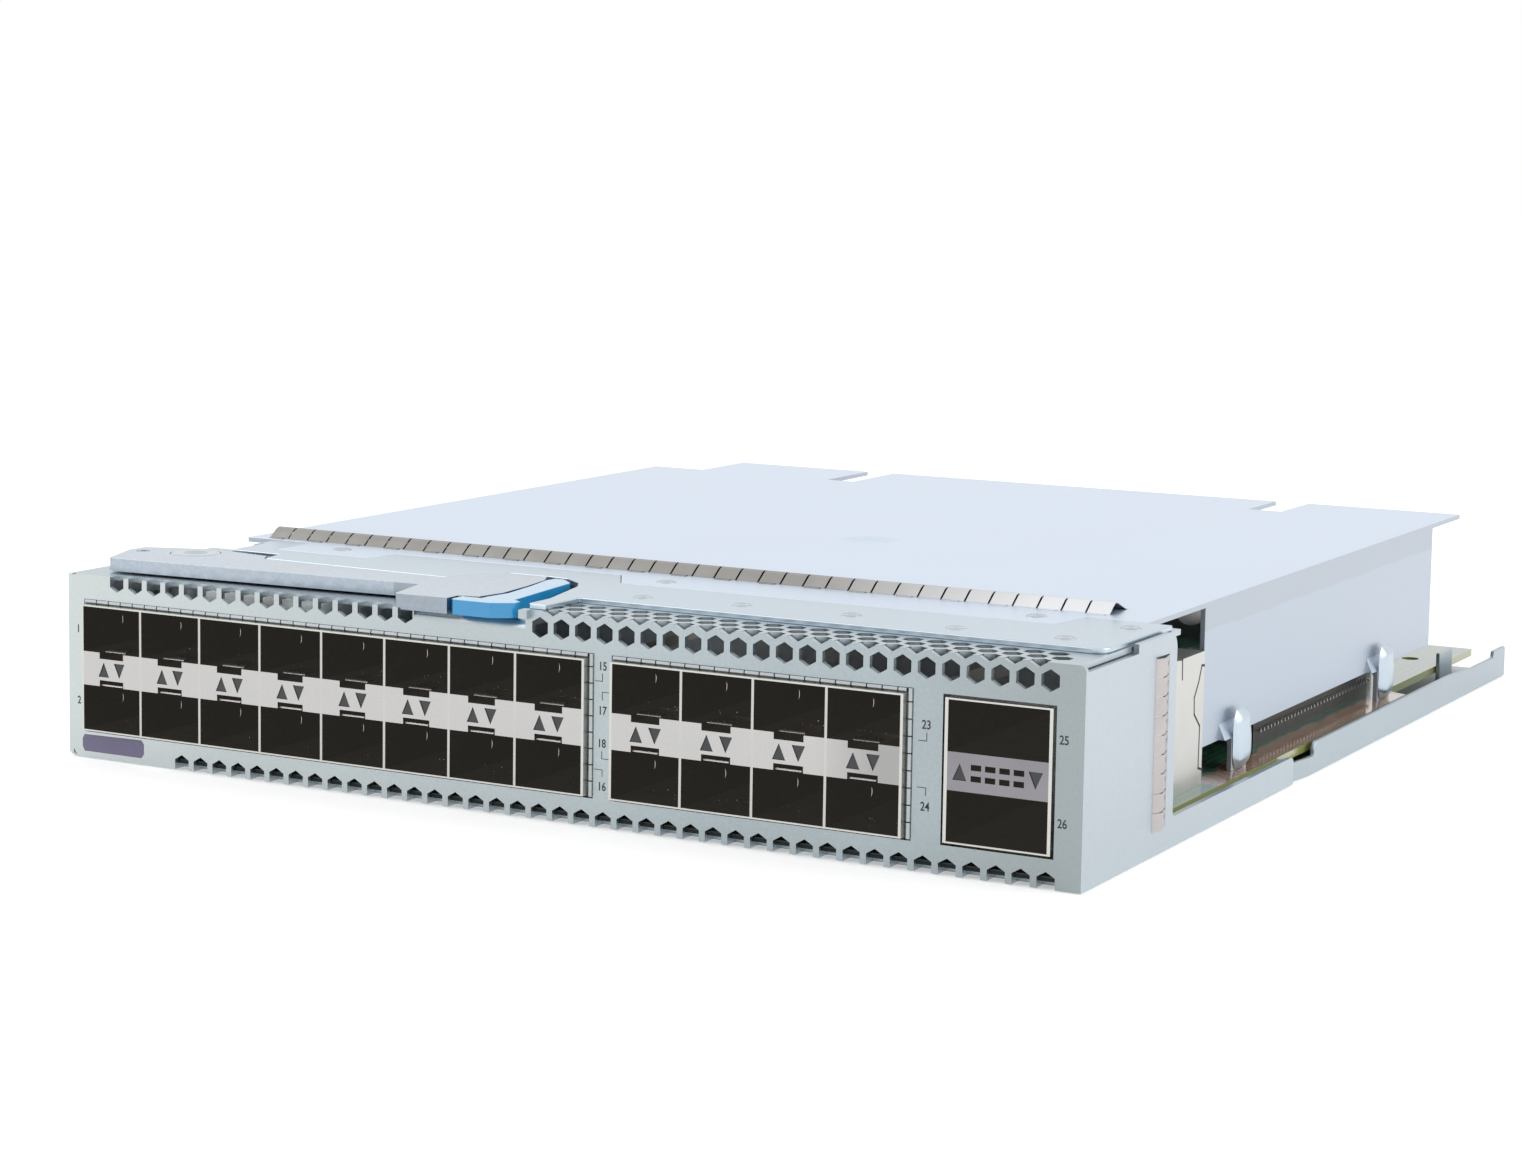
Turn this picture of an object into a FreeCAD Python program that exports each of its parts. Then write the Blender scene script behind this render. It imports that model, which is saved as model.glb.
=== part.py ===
"""Switch line card: 24 SFP+ ports and 2 QSFP+ ports in a folded-sheet slide-in module.

Millimetres. X runs along the face with 0 at its middle, Y runs from the face to the rear and
Z is up from the tray's underside. Each function returns the solids of one sub-part in those
working coordinates, and the export moves them so that the origin is under the middle.
"""
import FreeCAD, Part
import math
import os
from FreeCAD import Vector

# ---------------------------------------------------------------- driving dimensions
SHEET = 1.0                 # galvanised sheet of face, cover, plate and tray
SEAM = 0.2                  # open corner seams and gaps between folded edges
FIT = 0.05                  # sliding and running fits, per side

FACE_H = 38.0               # face plate up to the top flange's outside
BAY_DROP = 2.0              # lever bay floor below the top flange
BAY_BEND = 2.0              # outside radius of the plain fold under the handle
DEPTH = 252.3               # face to the rear end of the tray
TOP_FLANGE_D = 45.5         # top flange, front to rear
BOTTOM_FLANGE_D = 14.0
SIDE_FLANGE_D = 41.0        # full-height part of the side flanges
ARM_D = 105.0               # low arms of the side flanges, face to arm end
ARM_H = 5.4
CORNER_R = 3.0              # rounded corners of face and flanges

BOARD_T = 1.6
BOARD_Z = 4.0               # underside of the circuit board
BOARD_FRONT = 4.0
BOARD_NECK_Y = 183.0        # where the board steps in at its right and left edge
BOARD_REAR = 251.0
BOARD_GAP = 1.1             # board edge to the arms' inner side
BOARD_STEP = 5.4            # depth of the step in the board edges

PORT_W = 13.75
DIVIDER = 0.5               # sheet between two columns of ports
PORT_H = 8.8
BAND_H = 6.6                # middle band between upper and lower ports
CAGE_T = 0.3                # cage sheet above and below the ports
PROUD = 1.5                 # SFP cages stand out of the face
QSFP_PROUD = 0.3
CAGE_D = 46.0               # SFP cage behind the face
COLUMNS_LEFT = 8
COLUMNS_RIGHT = 4
LEFT_MARGIN = 4.9           # face edge to the first port
BLOCK_GAP = 5.8             # between the SFP blocks' end ports
RIGHT_MARGIN = 6.1          # QSFP opening to the face's right edge
QSFP_W = 18.4
QSFP_T = 0.6                # side walls of the QSFP cage
QSFP_GAP = 7.8              # last SFP column to the QSFP opening
QSFP_D = 69.5
CUT_RIGHT = 1.2             # panel cut-out past the cage, right side (room for the fingers)
CUT_TOP = 0.9
CUT_EDGE = 0.5              # panel cut-out past the cage, left side and bottom

VENT_PITCH = 4.5
VENT_FLATS = 3.3            # across flats of the hexagonal vents
VENT_ROW = 3.9              # row spacing of the vents
VENT_LOW = 4.95             # lower tips of the top vents, below the fold edge
FOLD_VENT_REACH = 2.9       # how far the long vents reach on both sides of a fold
VENT_ROWS = 4               # one on the face, one over the fold, two on the top flange
VENT_MARGIN = 6.3           # last vents to the face's right edge
VENT_MARGIN_BAY = 12.0      # first vents to the face's left edge, in the lever bay
VENT_MARGIN_LOW = 27.0      # the same in the bottom row
VENT_CLEAR = 1.7            # centre of the last vent in the bay to the plain fold

PLATE_EDGE = 11.8           # front edge of the lever plate on the vented side
PLATE_REAR = 42.6
COVER_MARGIN_LEFT = 9.4     # cover's left wall inside the face's left edge
COVER_MARGIN_RIGHT = 6.2
COVER_REAR = 232.6
WALL_FRONT = 71.2
WALL_REAR = 212.0
WALL_FOOT = 12.0            # lower edge of the cover's walls

STRIP_PITCH = 4.76          # EMI strip on the cover
STRIP_FINGERS = 40
STRIP_RISE = 2.0
STRIP_FRONT = 47.6
STRIP_RIDGE = 50.4
STRIP_REAR = 55.8
STRIP_T = 0.15
SIDE_TOOTH = 3.4            # EMI strips in the side flanges
SIDE_TEETH = 9
SIDE_STRIP_Z = 4.3
SIDE_STRIP_Y = 31.2
SIDE_STRIP_D = 6.2

LEVER_T = 2.6
LEVER_PIVOT = (15.8, 19.6)  # from the face's left edge and from the face
PIVOT_R = 3.0
PIVOT_HEAD_R = 4.9
HEAD_SINK = 0.6             # counterbore for the pivot's head
LEVER_SPAN = 86.0           # pivot to the right end of the lever
LIP_H = 3.0                 # depth of the handle's lip
LATCH_H = 2.8
LATCH_PIN_R = 0.8
LATCH_GAP = 1.2             # handle to latch, what the latch can be pressed
LATCH_SKIN = 0.4            # plastic left over the end of the pin
LATCH_SLOT = 0.35           # lever to the latch's arm at its pin

RIVET_R = 1.9
STUD_R = 1.5                # studs that hold the board
STUD_BASE_R = 2.8
NUT_T = 2.4

# ---------------------------------------------------------------- sizes that follow
PORT_PITCH = PORT_W + DIVIDER
SFP_W = (COLUMNS_LEFT + COLUMNS_RIGHT) * PORT_PITCH + BLOCK_GAP
FACE_W = LEFT_MARGIN + SFP_W + QSFP_GAP + QSFP_W + RIGHT_MARGIN
HALF_W = FACE_W / 2
LEFT = -HALF_W
TOP_Z = FACE_H + SHEET                       # cover and lever plate, outside
BAY_Z = FACE_H - BAY_DROP
BOARD_TOP = BOARD_Z + BOARD_T
LOW_Z = BOARD_TOP + CAGE_T                   # floor of the lower ports
LOW_TOP = LOW_Z + PORT_H
HIGH_Z = LOW_TOP + BAND_H                    # floor of the upper ports
HIGH_TOP = HIGH_Z + PORT_H
CAGE_TOP = HIGH_TOP + CAGE_T
A_LEFT = LEFT + LEFT_MARGIN                  # left side of the first port
B_LEFT = A_LEFT + COLUMNS_LEFT * PORT_PITCH + BLOCK_GAP
Q_LEFT = B_LEFT + COLUMNS_RIGHT * PORT_PITCH + QSFP_GAP
INNER_W = HALF_W - SHEET                     # inner side of the flanges
BOARD_HALF = INNER_W - BOARD_GAP
VENT_TIP = VENT_FLATS / math.sqrt(3)         # centre to tip of a vent
LEVER_Z = TOP_Z - LEVER_T
PIVOT_X = LEFT + LEVER_PIVOT[0]
PIVOT_Y = LEVER_PIVOT[1]
LEVER_END = PIVOT_X + LEVER_SPAN             # right end of the lever bay
PLAIN_X = LEVER_END - 20.4                   # the fold has no vents right of here
HANDLE_L = LEVER_END - 22.9
HANDLE_R = LEVER_END - 11.8
HANDLE_Y = PIVOT_Y - 22.2                    # front of the handle
LATCH_PIN_X = LEVER_END - 6.4
LATCH_PIN_Y = PIVOT_Y + 7.0
LAP_Z = (LEVER_Z + TOP_Z) / 2                # the latch's end lies on the lever's tongue here
BAY_CLEAR = 2.4                              # plate and raised flange start right of the pivot
BAY_RIGHT = LEVER_END + 3.8                  # right side of the bay
COVER_LEFT = LEFT + COVER_MARGIN_LEFT
COVER_RIGHT = HALF_W - COVER_MARGIN_RIGHT
STRIP_LEFT = COVER_LEFT + 0.6


# ---------------------------------------------------------------- helpers
def box(x0, x1, y0, y1, z0, z1):
    """Box between two X, two Y and two Z values."""
    return Part.makeBox(x1 - x0, y1 - y0, z1 - z0, Vector(x0, y0, z0))


def outline(corners, place):
    """Closed wire through (a, b) corners; a third value rounds that corner."""
    ends = []
    for i, corner in enumerate(corners):
        here = Vector(corner[0], corner[1], 0)
        if len(corner) < 3 or corner[2] <= 0:
            ends.append((here, here, None))
            continue
        before = corners[i - 1]
        after = corners[(i + 1) % len(corners)]
        back = (Vector(before[0], before[1], 0) - here).normalize()
        ahead = (Vector(after[0], after[1], 0) - here).normalize()
        half = back.getAngle(ahead) / 2
        reach = corner[2] / math.tan(half)
        middle = (back + ahead).normalize()
        crest = here + middle * (corner[2] / math.sin(half) - corner[2])
        ends.append((here + back * reach, here + ahead * reach, crest))
    edges = []
    for i, (start, finish, crest) in enumerate(ends):
        if crest is not None:
            edges.append(Part.Arc(place(start), place(crest), place(finish)).toShape())
        following = ends[(i + 1) % len(ends)][0]
        if finish.distanceToPoint(following) > 1e-6:
            edges.append(Part.makeLine(place(finish), place(following)))
    return Part.Wire(edges)


def on_xy(z):
    return lambda p: Vector(p.x, p.y, z)


def on_xz(y):
    return lambda p: Vector(p.x, y, p.y)


def on_yz(x):
    return lambda p: Vector(x, p.x, p.y)


def panel(corners, place, holes=()):
    """Flat face with its holes cut out; each hole is a list of corners."""
    face = Part.Face(outline(corners, place))
    cuts = [Part.Face(outline(hole, place)) for hole in holes]
    return face.cut(cuts) if cuts else face


def slab_z(corners, z0, z1, holes=()):
    return panel(corners, on_xy(z0), holes).extrude(Vector(0, 0, z1 - z0))


def slab_y(corners, y0, y1, holes=()):
    return panel(corners, on_xz(y0), holes).extrude(Vector(0, y1 - y0, 0))


def slab_x(corners, x0, x1, holes=()):
    return panel(corners, on_yz(x0), holes).extrude(Vector(x1 - x0, 0, 0))


def rectangle(a0, a1, b0, b1):
    return [(a0, b0), (a1, b0), (a1, b1), (a0, b1)]


def hexagon(a, b, stretch_up=0.0, stretch_down=0.0):
    """Pointed-top hexagon; its upright sides can be lengthened."""
    half = VENT_FLATS / 2
    up = b + stretch_up
    down = b - stretch_down
    return [(a, up + VENT_TIP), (a + half, up + VENT_TIP / 2), (a + half, down - VENT_TIP / 2),
            (a, down - VENT_TIP), (a - half, down - VENT_TIP / 2), (a - half, up + VENT_TIP / 2)]


def vent_slot(a, reach):
    """Square-ended rest of a long vent on the hidden side of its fold."""
    return rectangle(a - VENT_FLATS / 2, a + VENT_FLATS / 2, -reach, reach)


def disc(x, y, z0, z1, radius):
    return Part.makeCylinder(radius, z1 - z0, Vector(x, y, z0))


def peg(x, y, z0, z1, radius, sides=10):
    """Small round piece with few sides, so that the many fasteners stay light."""
    ring = [(x + radius * math.cos(2 * math.pi * i / sides), y + radius * math.sin(2 * math.pi * i / sides))
            for i in range(sides)]
    return slab_z(ring, z0, z1)


def mirrored(shape):
    """The same shape on the other side of the face's middle."""
    return shape.mirror(Vector(0, 0, 0), Vector(1, 0, 0))


def joined(first, *others):
    return first.multiFuse(list(others)).removeSplitter()


def group(solids):
    """Separate like pieces that share one sub-part."""
    return Part.makeCompound(solids)


# ---------------------------------------------------------------- face plate
def vent_centres(left_limit, shift=0.0):
    """X of a row of vents, from the face's right edge to a limit on the left."""
    first = HALF_W - VENT_MARGIN - shift
    return [first - VENT_PITCH * i for i in range(int((first - left_limit) / VENT_PITCH) + 1)]


def port_cutouts():
    """Panel cut-outs round the three port blocks."""
    low = BOARD_TOP - CUT_EDGE
    high = CAGE_TOP + CUT_TOP
    cuts = []
    for left, count in ((A_LEFT, COLUMNS_LEFT), (B_LEFT, COLUMNS_RIGHT)):
        right = left + count * PORT_PITCH
        cuts.append(rectangle(left - DIVIDER - CUT_EDGE, right + CUT_RIGHT, low, high))
    side = QSFP_T + CUT_EDGE
    cuts.append(rectangle(Q_LEFT - side, Q_LEFT + QSFP_W + side, low, CAGE_TOP + CUT_EDGE))
    return cuts


def face_plate():
    """One folded sheet: face, stepped top flange with the lever bay, side flanges and arms."""
    lowest = FACE_H - VENT_LOW + VENT_TIP        # row heights on the unfolded sheet
    rows = [(lowest + i * VENT_ROW, VENT_PITCH / 2 * (i % 2)) for i in range(VENT_ROWS)]
    vent_limit = BAY_RIGHT + 2.8
    bay_first = LEFT + VENT_MARGIN_BAY
    bay_count = int((PLAIN_X - VENT_CLEAR - bay_first) / VENT_PITCH) + 1
    bay_row = [bay_first + VENT_PITCH * i for i in range(bay_count)]
    low_row = vent_centres(LEFT + VENT_MARGIN_LOW)

    front_holes = port_cutouts()
    for level, shift in rows[:2]:
        front_holes += [hexagon(x, level) for x in vent_centres(vent_limit, shift)]
    top_holes = []
    for level, shift in rows[1:]:
        top_holes += [hexagon(x, level - FACE_H) for x in vent_centres(vent_limit, shift)]
    stretch = FOLD_VENT_REACH - VENT_TIP
    front_holes += [hexagon(x, BAY_Z, 0, stretch) for x in bay_row]
    front_holes += [hexagon(x, 0, stretch, 0) for x in low_row]
    bay_holes = [vent_slot(x, FOLD_VENT_REACH) for x in bay_row]

    bend_z = BAY_Z - BAY_BEND
    front = slab_y([(LEFT + 2.0, 0), (HALF_W, 0), (HALF_W, FACE_H, 1.2), (BAY_RIGHT, FACE_H),
                    (BAY_RIGHT, bend_z), (PLAIN_X, bend_z), (PLAIN_X, BAY_Z),
                    (LEFT, BAY_Z, 2.0), (LEFT, CORNER_R)], 0, SHEET, front_holes)
    bottom = slab_z(rectangle(LEFT + CORNER_R, HALF_W - CORNER_R, 0, BOTTOM_FLANGE_D), 0, SHEET,
                    [vent_slot(x, FOLD_VENT_REACH) for x in low_row])

    left_x = PIVOT_X + BAY_CLEAR                 # left end of the raised part behind the bay
    step_x = PIVOT_X + 15.5
    rear_x = LEVER_END - 27.2
    near_y = PIVOT_Y + 1.9
    mid_y = PIVOT_Y + 8.0
    far_y = PIVOT_Y + 13.5
    raised = [(HALF_W - SHEET - SEAM, 0), (HALF_W - SHEET - SEAM, TOP_FLANGE_D), (left_x, TOP_FLANGE_D),
              (left_x, mid_y), (step_x, mid_y), (step_x, near_y), (rear_x, near_y),
              (rear_x, far_y), (BAY_RIGHT, far_y), (BAY_RIGHT, 0)]
    top = slab_z(raised, FACE_H - SHEET, FACE_H, top_holes)
    floor_z = BAY_Z - SHEET
    bay = slab_z([(LEFT + 2.0, 0), (PLAIN_X, 0), (PLAIN_X, BAY_BEND), (BAY_RIGHT + SHEET, BAY_BEND),
                  (BAY_RIGHT + SHEET, far_y + SHEET), (rear_x - SHEET, far_y + SHEET),
                  (rear_x - SHEET, near_y + SHEET), (step_x + SHEET, near_y + SHEET),
                  (step_x + SHEET, mid_y + SHEET), (left_x + SHEET, mid_y + SHEET),
                  (left_x + SHEET, TOP_FLANGE_D), (LEFT, TOP_FLANGE_D), (LEFT, 2.0)],
                 floor_z, BAY_Z, bay_holes)
    axis = Vector(PLAIN_X, BAY_BEND, bend_z)
    span = BAY_RIGHT - PLAIN_X
    bend = Part.makeCylinder(BAY_BEND, span, axis, Vector(1, 0, 0))
    bend = bend.cut(Part.makeCylinder(BAY_BEND - SHEET, span, axis, Vector(1, 0, 0)))
    bend = bend.common(box(PLAIN_X, BAY_RIGHT, 0, BAY_BEND, bend_z, BAY_Z))
    risers = [
        box(left_x, left_x + SHEET, mid_y, TOP_FLANGE_D, floor_z, FACE_H),
        box(left_x, step_x + SHEET, mid_y, mid_y + SHEET, floor_z, FACE_H),
        box(step_x, step_x + SHEET, near_y, mid_y + SHEET, floor_z, FACE_H),
        box(step_x, rear_x, near_y, near_y + SHEET, floor_z, FACE_H),
        box(rear_x - SHEET, rear_x, near_y, far_y + SHEET, floor_z, FACE_H),
        box(rear_x - SHEET, BAY_RIGHT, far_y, far_y + SHEET, floor_z, FACE_H),
        box(BAY_RIGHT, BAY_RIGHT + SHEET, 0, far_y + SHEET, floor_z, FACE_H)]

    right_side = side_flange(FACE_H - SHEET - SEAM, FACE_H + 0.4)
    left_side = mirrored(side_flange(BAY_Z, BAY_Z))
    lug = box(BAY_RIGHT - 0.8, BAY_RIGHT + SHEET, -1.2, SHEET, BAY_Z + 0.4, FACE_H)
    return joined(front, bottom, top, bay, bend, right_side, left_side, lug, *risers)


def side_flange(front_top, rear_top):
    """Right side flange with its low arm and the window for the EMI strip."""
    lap = 23.0                                   # the top flange laps over up to here
    profile = [(0, 0.8), (0.8, 0), (ARM_D, 0), (ARM_D, ARM_H, 1.5), (SIDE_FLANGE_D, ARM_H, 1.0),
               (SIDE_FLANGE_D, rear_top, CORNER_R)]
    if rear_top > front_top:
        profile += [(lap, rear_top), (lap, front_top)]
    profile += [(0, front_top)]
    height = SIDE_TEETH * SIDE_TOOTH
    window = rectangle(SIDE_STRIP_Y, SIDE_STRIP_Y + SIDE_STRIP_D, SIDE_STRIP_Z, SIDE_STRIP_Z + height)
    return slab_x(profile, INNER_W, HALF_W, [window])


# ---------------------------------------------------------------- lever plate and cover
RIVET_SPOTS = [(BAY_RIGHT + (HALF_W - BAY_RIGHT) * share, y) for share, y in
               ((0.124, 18.7), (0.305, 20.5), (0.505, 21.2), (0.705, 18.3), (0.891, 19.0))]
COVER_RIVET_SPOTS = [(PIVOT_X + 20.8, 40.2), (LEVER_END + 11.2, 37.8), (HALF_W - 25.8, 38.8)]
CORNER_RIVET = (HALF_W - 6.6, 35.6)


def seam_line():
    """Front edge of the cover, from its left to its right corner."""
    return [(COVER_LEFT, 45.1), (PIVOT_X + 9.7, 45.1), (PIVOT_X + 9.7, 33.4), (PIVOT_X + 31.8, 33.4),
            (PIVOT_X + 33.2, 41.4), (LEVER_END - 0.8, 41.4), (LEVER_END + 4.5, 32.4),
            (HALF_W - 19.5, 32.4), (HALF_W - 18.0, PLATE_REAR + SEAM),
            (COVER_RIGHT, PLATE_REAR + SEAM)]


def lever_plate():
    """Flat plate on the top flange; its front edge follows the lever and the latch."""
    right = HALF_W - 1.6
    end = LEVER_END
    front = [(PIVOT_X + BAY_CLEAR, PIVOT_Y + 8.6), (PIVOT_X + 14.2, PIVOT_Y + 8.6),
             (PIVOT_X + 15.6, PIVOT_Y + 2.2), (end - 26.6, PIVOT_Y + 0.9),
             (end - 23.2, PIVOT_Y + 8.9), (end - 20.6, PIVOT_Y + 12.5, 1.5),
             (end - 11.2, PIVOT_Y + 12.6), (end - 6.8, PIVOT_Y + 12.0), (end - 2.4, PIVOT_Y + 8.6),
             (end, PIVOT_Y + 4.3, 1.0), (BAY_RIGHT, 8.0), (BAY_RIGHT, 0.9, 0.6),
             (BAY_RIGHT + 3.8, 0.7), (BAY_RIGHT + 4.1, PLATE_EDGE)]
    rear = [(x, y - SEAM) for x, y in reversed(seam_line()[2:-1])]
    corners = front + [(right, PLATE_EDGE, 2.5), (right, PLATE_REAR)] + rear
    corners += [(PIVOT_X + 9.7, 45.1 - SEAM), (PIVOT_X + BAY_CLEAR, 45.1 - SEAM)]
    return slab_z(corners, FACE_H, TOP_Z)


def top_cover():
    """Cover sheet with two walls, hook tabs, rear notches and a pressed dimple."""
    left_notch = COVER_LEFT + 49.0
    right_notch = COVER_RIGHT - 43.4
    rear = [(COVER_RIGHT, COVER_REAR), (right_notch + 7.7, COVER_REAR),
            (right_notch + 7.7, COVER_REAR - 18.6), (right_notch, COVER_REAR - 18.6),
            (right_notch, COVER_REAR), (left_notch + 7.0, COVER_REAR),
            (left_notch + 7.0, COVER_REAR - 22.0), (left_notch, COVER_REAR - 22.0),
            (left_notch, COVER_REAR), (COVER_LEFT + 13.5, COVER_REAR),
            (COVER_LEFT + 13.5, COVER_REAR - 20.6), (COVER_LEFT, COVER_REAR - 20.6)]
    centre = (LEFT + 117.8, 114.5)
    dimple_r = 6.3
    dimple_drop = 0.6
    top = slab_z(seam_line() + rear, FACE_H, TOP_Z)
    top = top.cut(Part.makeCone(dimple_r * 0.6, dimple_r, dimple_drop,
                                Vector(centre[0], centre[1], TOP_Z - dimple_drop)))
    right = cover_wall()
    left = mirrored(right)
    left.translate(Vector(COVER_LEFT + COVER_RIGHT, 0, 0))
    return joined(top, right, left)


TABS = (80.0, 168.0)                             # front edges of the hook tabs
TAB_W = 11.6


def cover_wall():
    """Right wall; two tabs bulge out, pass over the board's edge and stand on the board."""
    bulge = 1.4
    outer = COVER_RIGHT
    wall = box(outer - SHEET, outer, WALL_FRONT, WALL_REAR, WALL_FOOT, TOP_Z)
    hook = [(outer - SHEET, WALL_FOOT + 1.5), (outer, WALL_FOOT + 3.0),
            (outer + bulge, WALL_FOOT - 0.2), (outer + bulge, BOARD_TOP),
            (outer + bulge - SHEET, BOARD_TOP), (outer + bulge - SHEET, WALL_FOOT - 1.2)]
    tabs = []
    for y in TABS:
        tab = slab_y(hook, y, y + TAB_W)
        tabs.append(tab.cut(box(outer - 2, outer + 3, y - 1, y + TAB_W * 0.3, 0, WALL_FOOT)))
    return joined(wall, *tabs)


# ---------------------------------------------------------------- tray and board
def base_tray():
    """Floor with two low rails: inside the arms in front, flush with them behind."""
    reach = INNER_W - FIT                        # floor and front rails lie inside the arms
    front_y = BOTTOM_FLANGE_D + SEAM
    joggle_y = ARM_D + SEAM
    rear_y = ARM_D + 12.4
    rail_h = 6.2
    dip_y = DEPTH - 25.7
    hook_y = DEPTH - 8.6
    flush = [(joggle_y, reach), (rear_y - 3, HALF_W), (DEPTH, HALF_W)]
    edge = [(reach, front_y)] + [(x, y) for y, x in flush]
    floor = slab_z(edge + [(-x, y) for x, y in reversed(edge)], 0, SHEET)
    lip = slab_z(rectangle(-reach, reach, SHEET + SEAM, front_y + SHEET), SHEET, 2 * SHEET)
    front_rail = box(reach - SHEET, reach, front_y, joggle_y, 0, ARM_H - 0.8)
    strip = slab_z([(reach - SHEET, joggle_y), (reach, joggle_y), (HALF_W, rear_y - 3),
                    (HALF_W, rear_y), (HALF_W - SHEET, rear_y), (HALF_W - SHEET, rear_y - 3)], 0, 3.6)
    rail = slab_x([(rear_y, 0), (DEPTH, 0), (DEPTH, rail_h + 0.6, 0.6), (hook_y, rail_h + 0.6),
                   (hook_y - 0.6, rail_h - 0.8), (dip_y, rail_h - 0.8), (dip_y - 18, rail_h),
                   (rear_y, rail_h, 1.5)], HALF_W - SHEET, HALF_W)
    tab_x = BOARD_HALF - BOARD_STEP + 0.3
    tab = box(tab_x, tab_x + SHEET, DEPTH - 30.8, DEPTH - 21.3, 0, BOARD_TOP + 3.1)
    side = [front_rail, strip, rail, tab]
    return joined(floor, lip, *side, *[mirrored(piece) for piece in side])


STUD_SPOTS = [(-BOARD_HALF + 8.0, 60.0), (-BOARD_HALF + 8.0, 190.0), (Q_LEFT - 6.5, 60.0),
              (BOARD_HALF - 24.0, 190.0)]
CORNER_HOLE = (BOARD_HALF - 13.4, 229.5)
TOOLING_R = 2.0


def circuit_board():
    """Board with its narrower rear end, screw holes and a tooling hole."""
    neck = BOARD_HALF - BOARD_STEP
    right = [(BOARD_HALF, BOARD_FRONT), (BOARD_HALF, BOARD_NECK_Y), (neck, BOARD_NECK_Y + 2.5),
             (neck, BOARD_REAR)]
    left = [(-corner[0],) + tuple(corner[1:]) for corner in reversed(right)]
    board = slab_z(right + left, BOARD_Z, BOARD_TOP)
    drills = [peg(x, y, BOARD_Z, BOARD_TOP, STUD_R + FIT, 8) for x, y in STUD_SPOTS]
    drills.append(peg(*CORNER_HOLE, BOARD_Z, BOARD_TOP, TOOLING_R, 12))
    return board.cut(drills)


def standoffs():
    """Hexagonal standoffs pressed into the tray, each with a stud through the board."""
    return group([joined(peg(x, y, SHEET, BOARD_Z, STUD_BASE_R, 6),
                         peg(x, y, BOARD_Z, BOARD_TOP + NUT_T, STUD_R, 8)) for x, y in STUD_SPOTS])


def board_nuts():
    """Hexagonal nuts on the studs."""
    nuts = []
    for x, y in STUD_SPOTS:
        nut = peg(x, y, BOARD_TOP, BOARD_TOP + NUT_T - 0.3, STUD_BASE_R, 6)
        nuts.append(nut.cut(peg(x, y, BOARD_TOP, BOARD_TOP + NUT_T, STUD_R, 8)))
    return group(nuts)


# ---------------------------------------------------------------- cages and what they hold
def cage_shell(left, count, width, pitch, wall, depth, proud):
    """Open-fronted cage: floor, roof, two sides and back in thin sheet."""
    right = left + (count - 1) * pitch + width
    outer = box(left - wall, right + wall, -proud, depth, BOARD_TOP, CAGE_TOP)
    return outer.cut(box(left, right, -proud, depth - wall, LOW_Z, HIGH_TOP))


def dividers(left, count):
    """Upright sheets between the columns of ports."""
    plates = []
    for i in range(1, count):
        x = left + i * PORT_PITCH
        plates.append(box(x - DIVIDER, x, -PROUD, CAGE_D - DIVIDER, LOW_Z, HIGH_TOP))
    return group(plates)


ARROW_W = 2.5
ARROW_H = 2.8
UP_ARROW = 5.0                                   # from the port's left side
DOWN_ARROW = 8.8
BAND_D = 33.5
PIPE_D = 12.0


def arrow(x, z, up, grow=0.0):
    """Triangle of a light window, standing on its base or on its tip."""
    half_w = ARROW_W / 2 + grow
    half_h = (ARROW_H / 2 + grow) * (1 if up else -1)
    return [(x - half_w, z - half_h), (x + half_w, z - half_h), (x, z + half_h)]


def bands(left, count):
    """Middle blocks between upper and lower ports, with light windows and latch slots."""
    mid_z = LOW_TOP + BAND_H / 2
    slot_w = 5.8
    slot_h = 1.2
    slot_d = 8.0
    blocks = []
    for i in range(count):
        x = left + i * PORT_PITCH
        middle = x + PORT_W / 2
        windows = [arrow(x + UP_ARROW, mid_z, True, FIT), arrow(x + DOWN_ARROW, mid_z, False, FIT)]
        block = box(x, x + PORT_W, -PROUD, BAND_D, LOW_TOP, HIGH_Z)
        cuts = [slab_y(window, -PROUD, PIPE_D) for window in windows]
        cuts += [box(middle - slot_w / 2, middle + slot_w / 2, -PROUD, slot_d, z, z + slot_h)
                 for z in (LOW_TOP, HIGH_Z - slot_h)]
        blocks.append(block.cut(cuts))
    return group(blocks)


def light_pipes(left, count):
    """Triangular ends of the light pipes, a little behind the front of the band."""
    mid_z = LOW_TOP + BAND_H / 2
    pipes = []
    for i in range(count):
        x = left + i * PORT_PITCH
        pipes.append(slab_y(arrow(x + UP_ARROW, mid_z, True), -PROUD + 0.2, PIPE_D))
        pipes.append(slab_y(arrow(x + DOWN_ARROW, mid_z, False), -PROUD + 0.2, PIPE_D))
    return group(pipes)


CONNECTOR_D = 9.0


def port_connector(left, width, rear):
    """Stacked host connector at the back of one column of ports."""
    inset = 0.4
    return box(left + inset, left + width - inset, rear - CONNECTOR_D, rear - FIT, LOW_Z, HIGH_TOP - 1.2)


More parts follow.
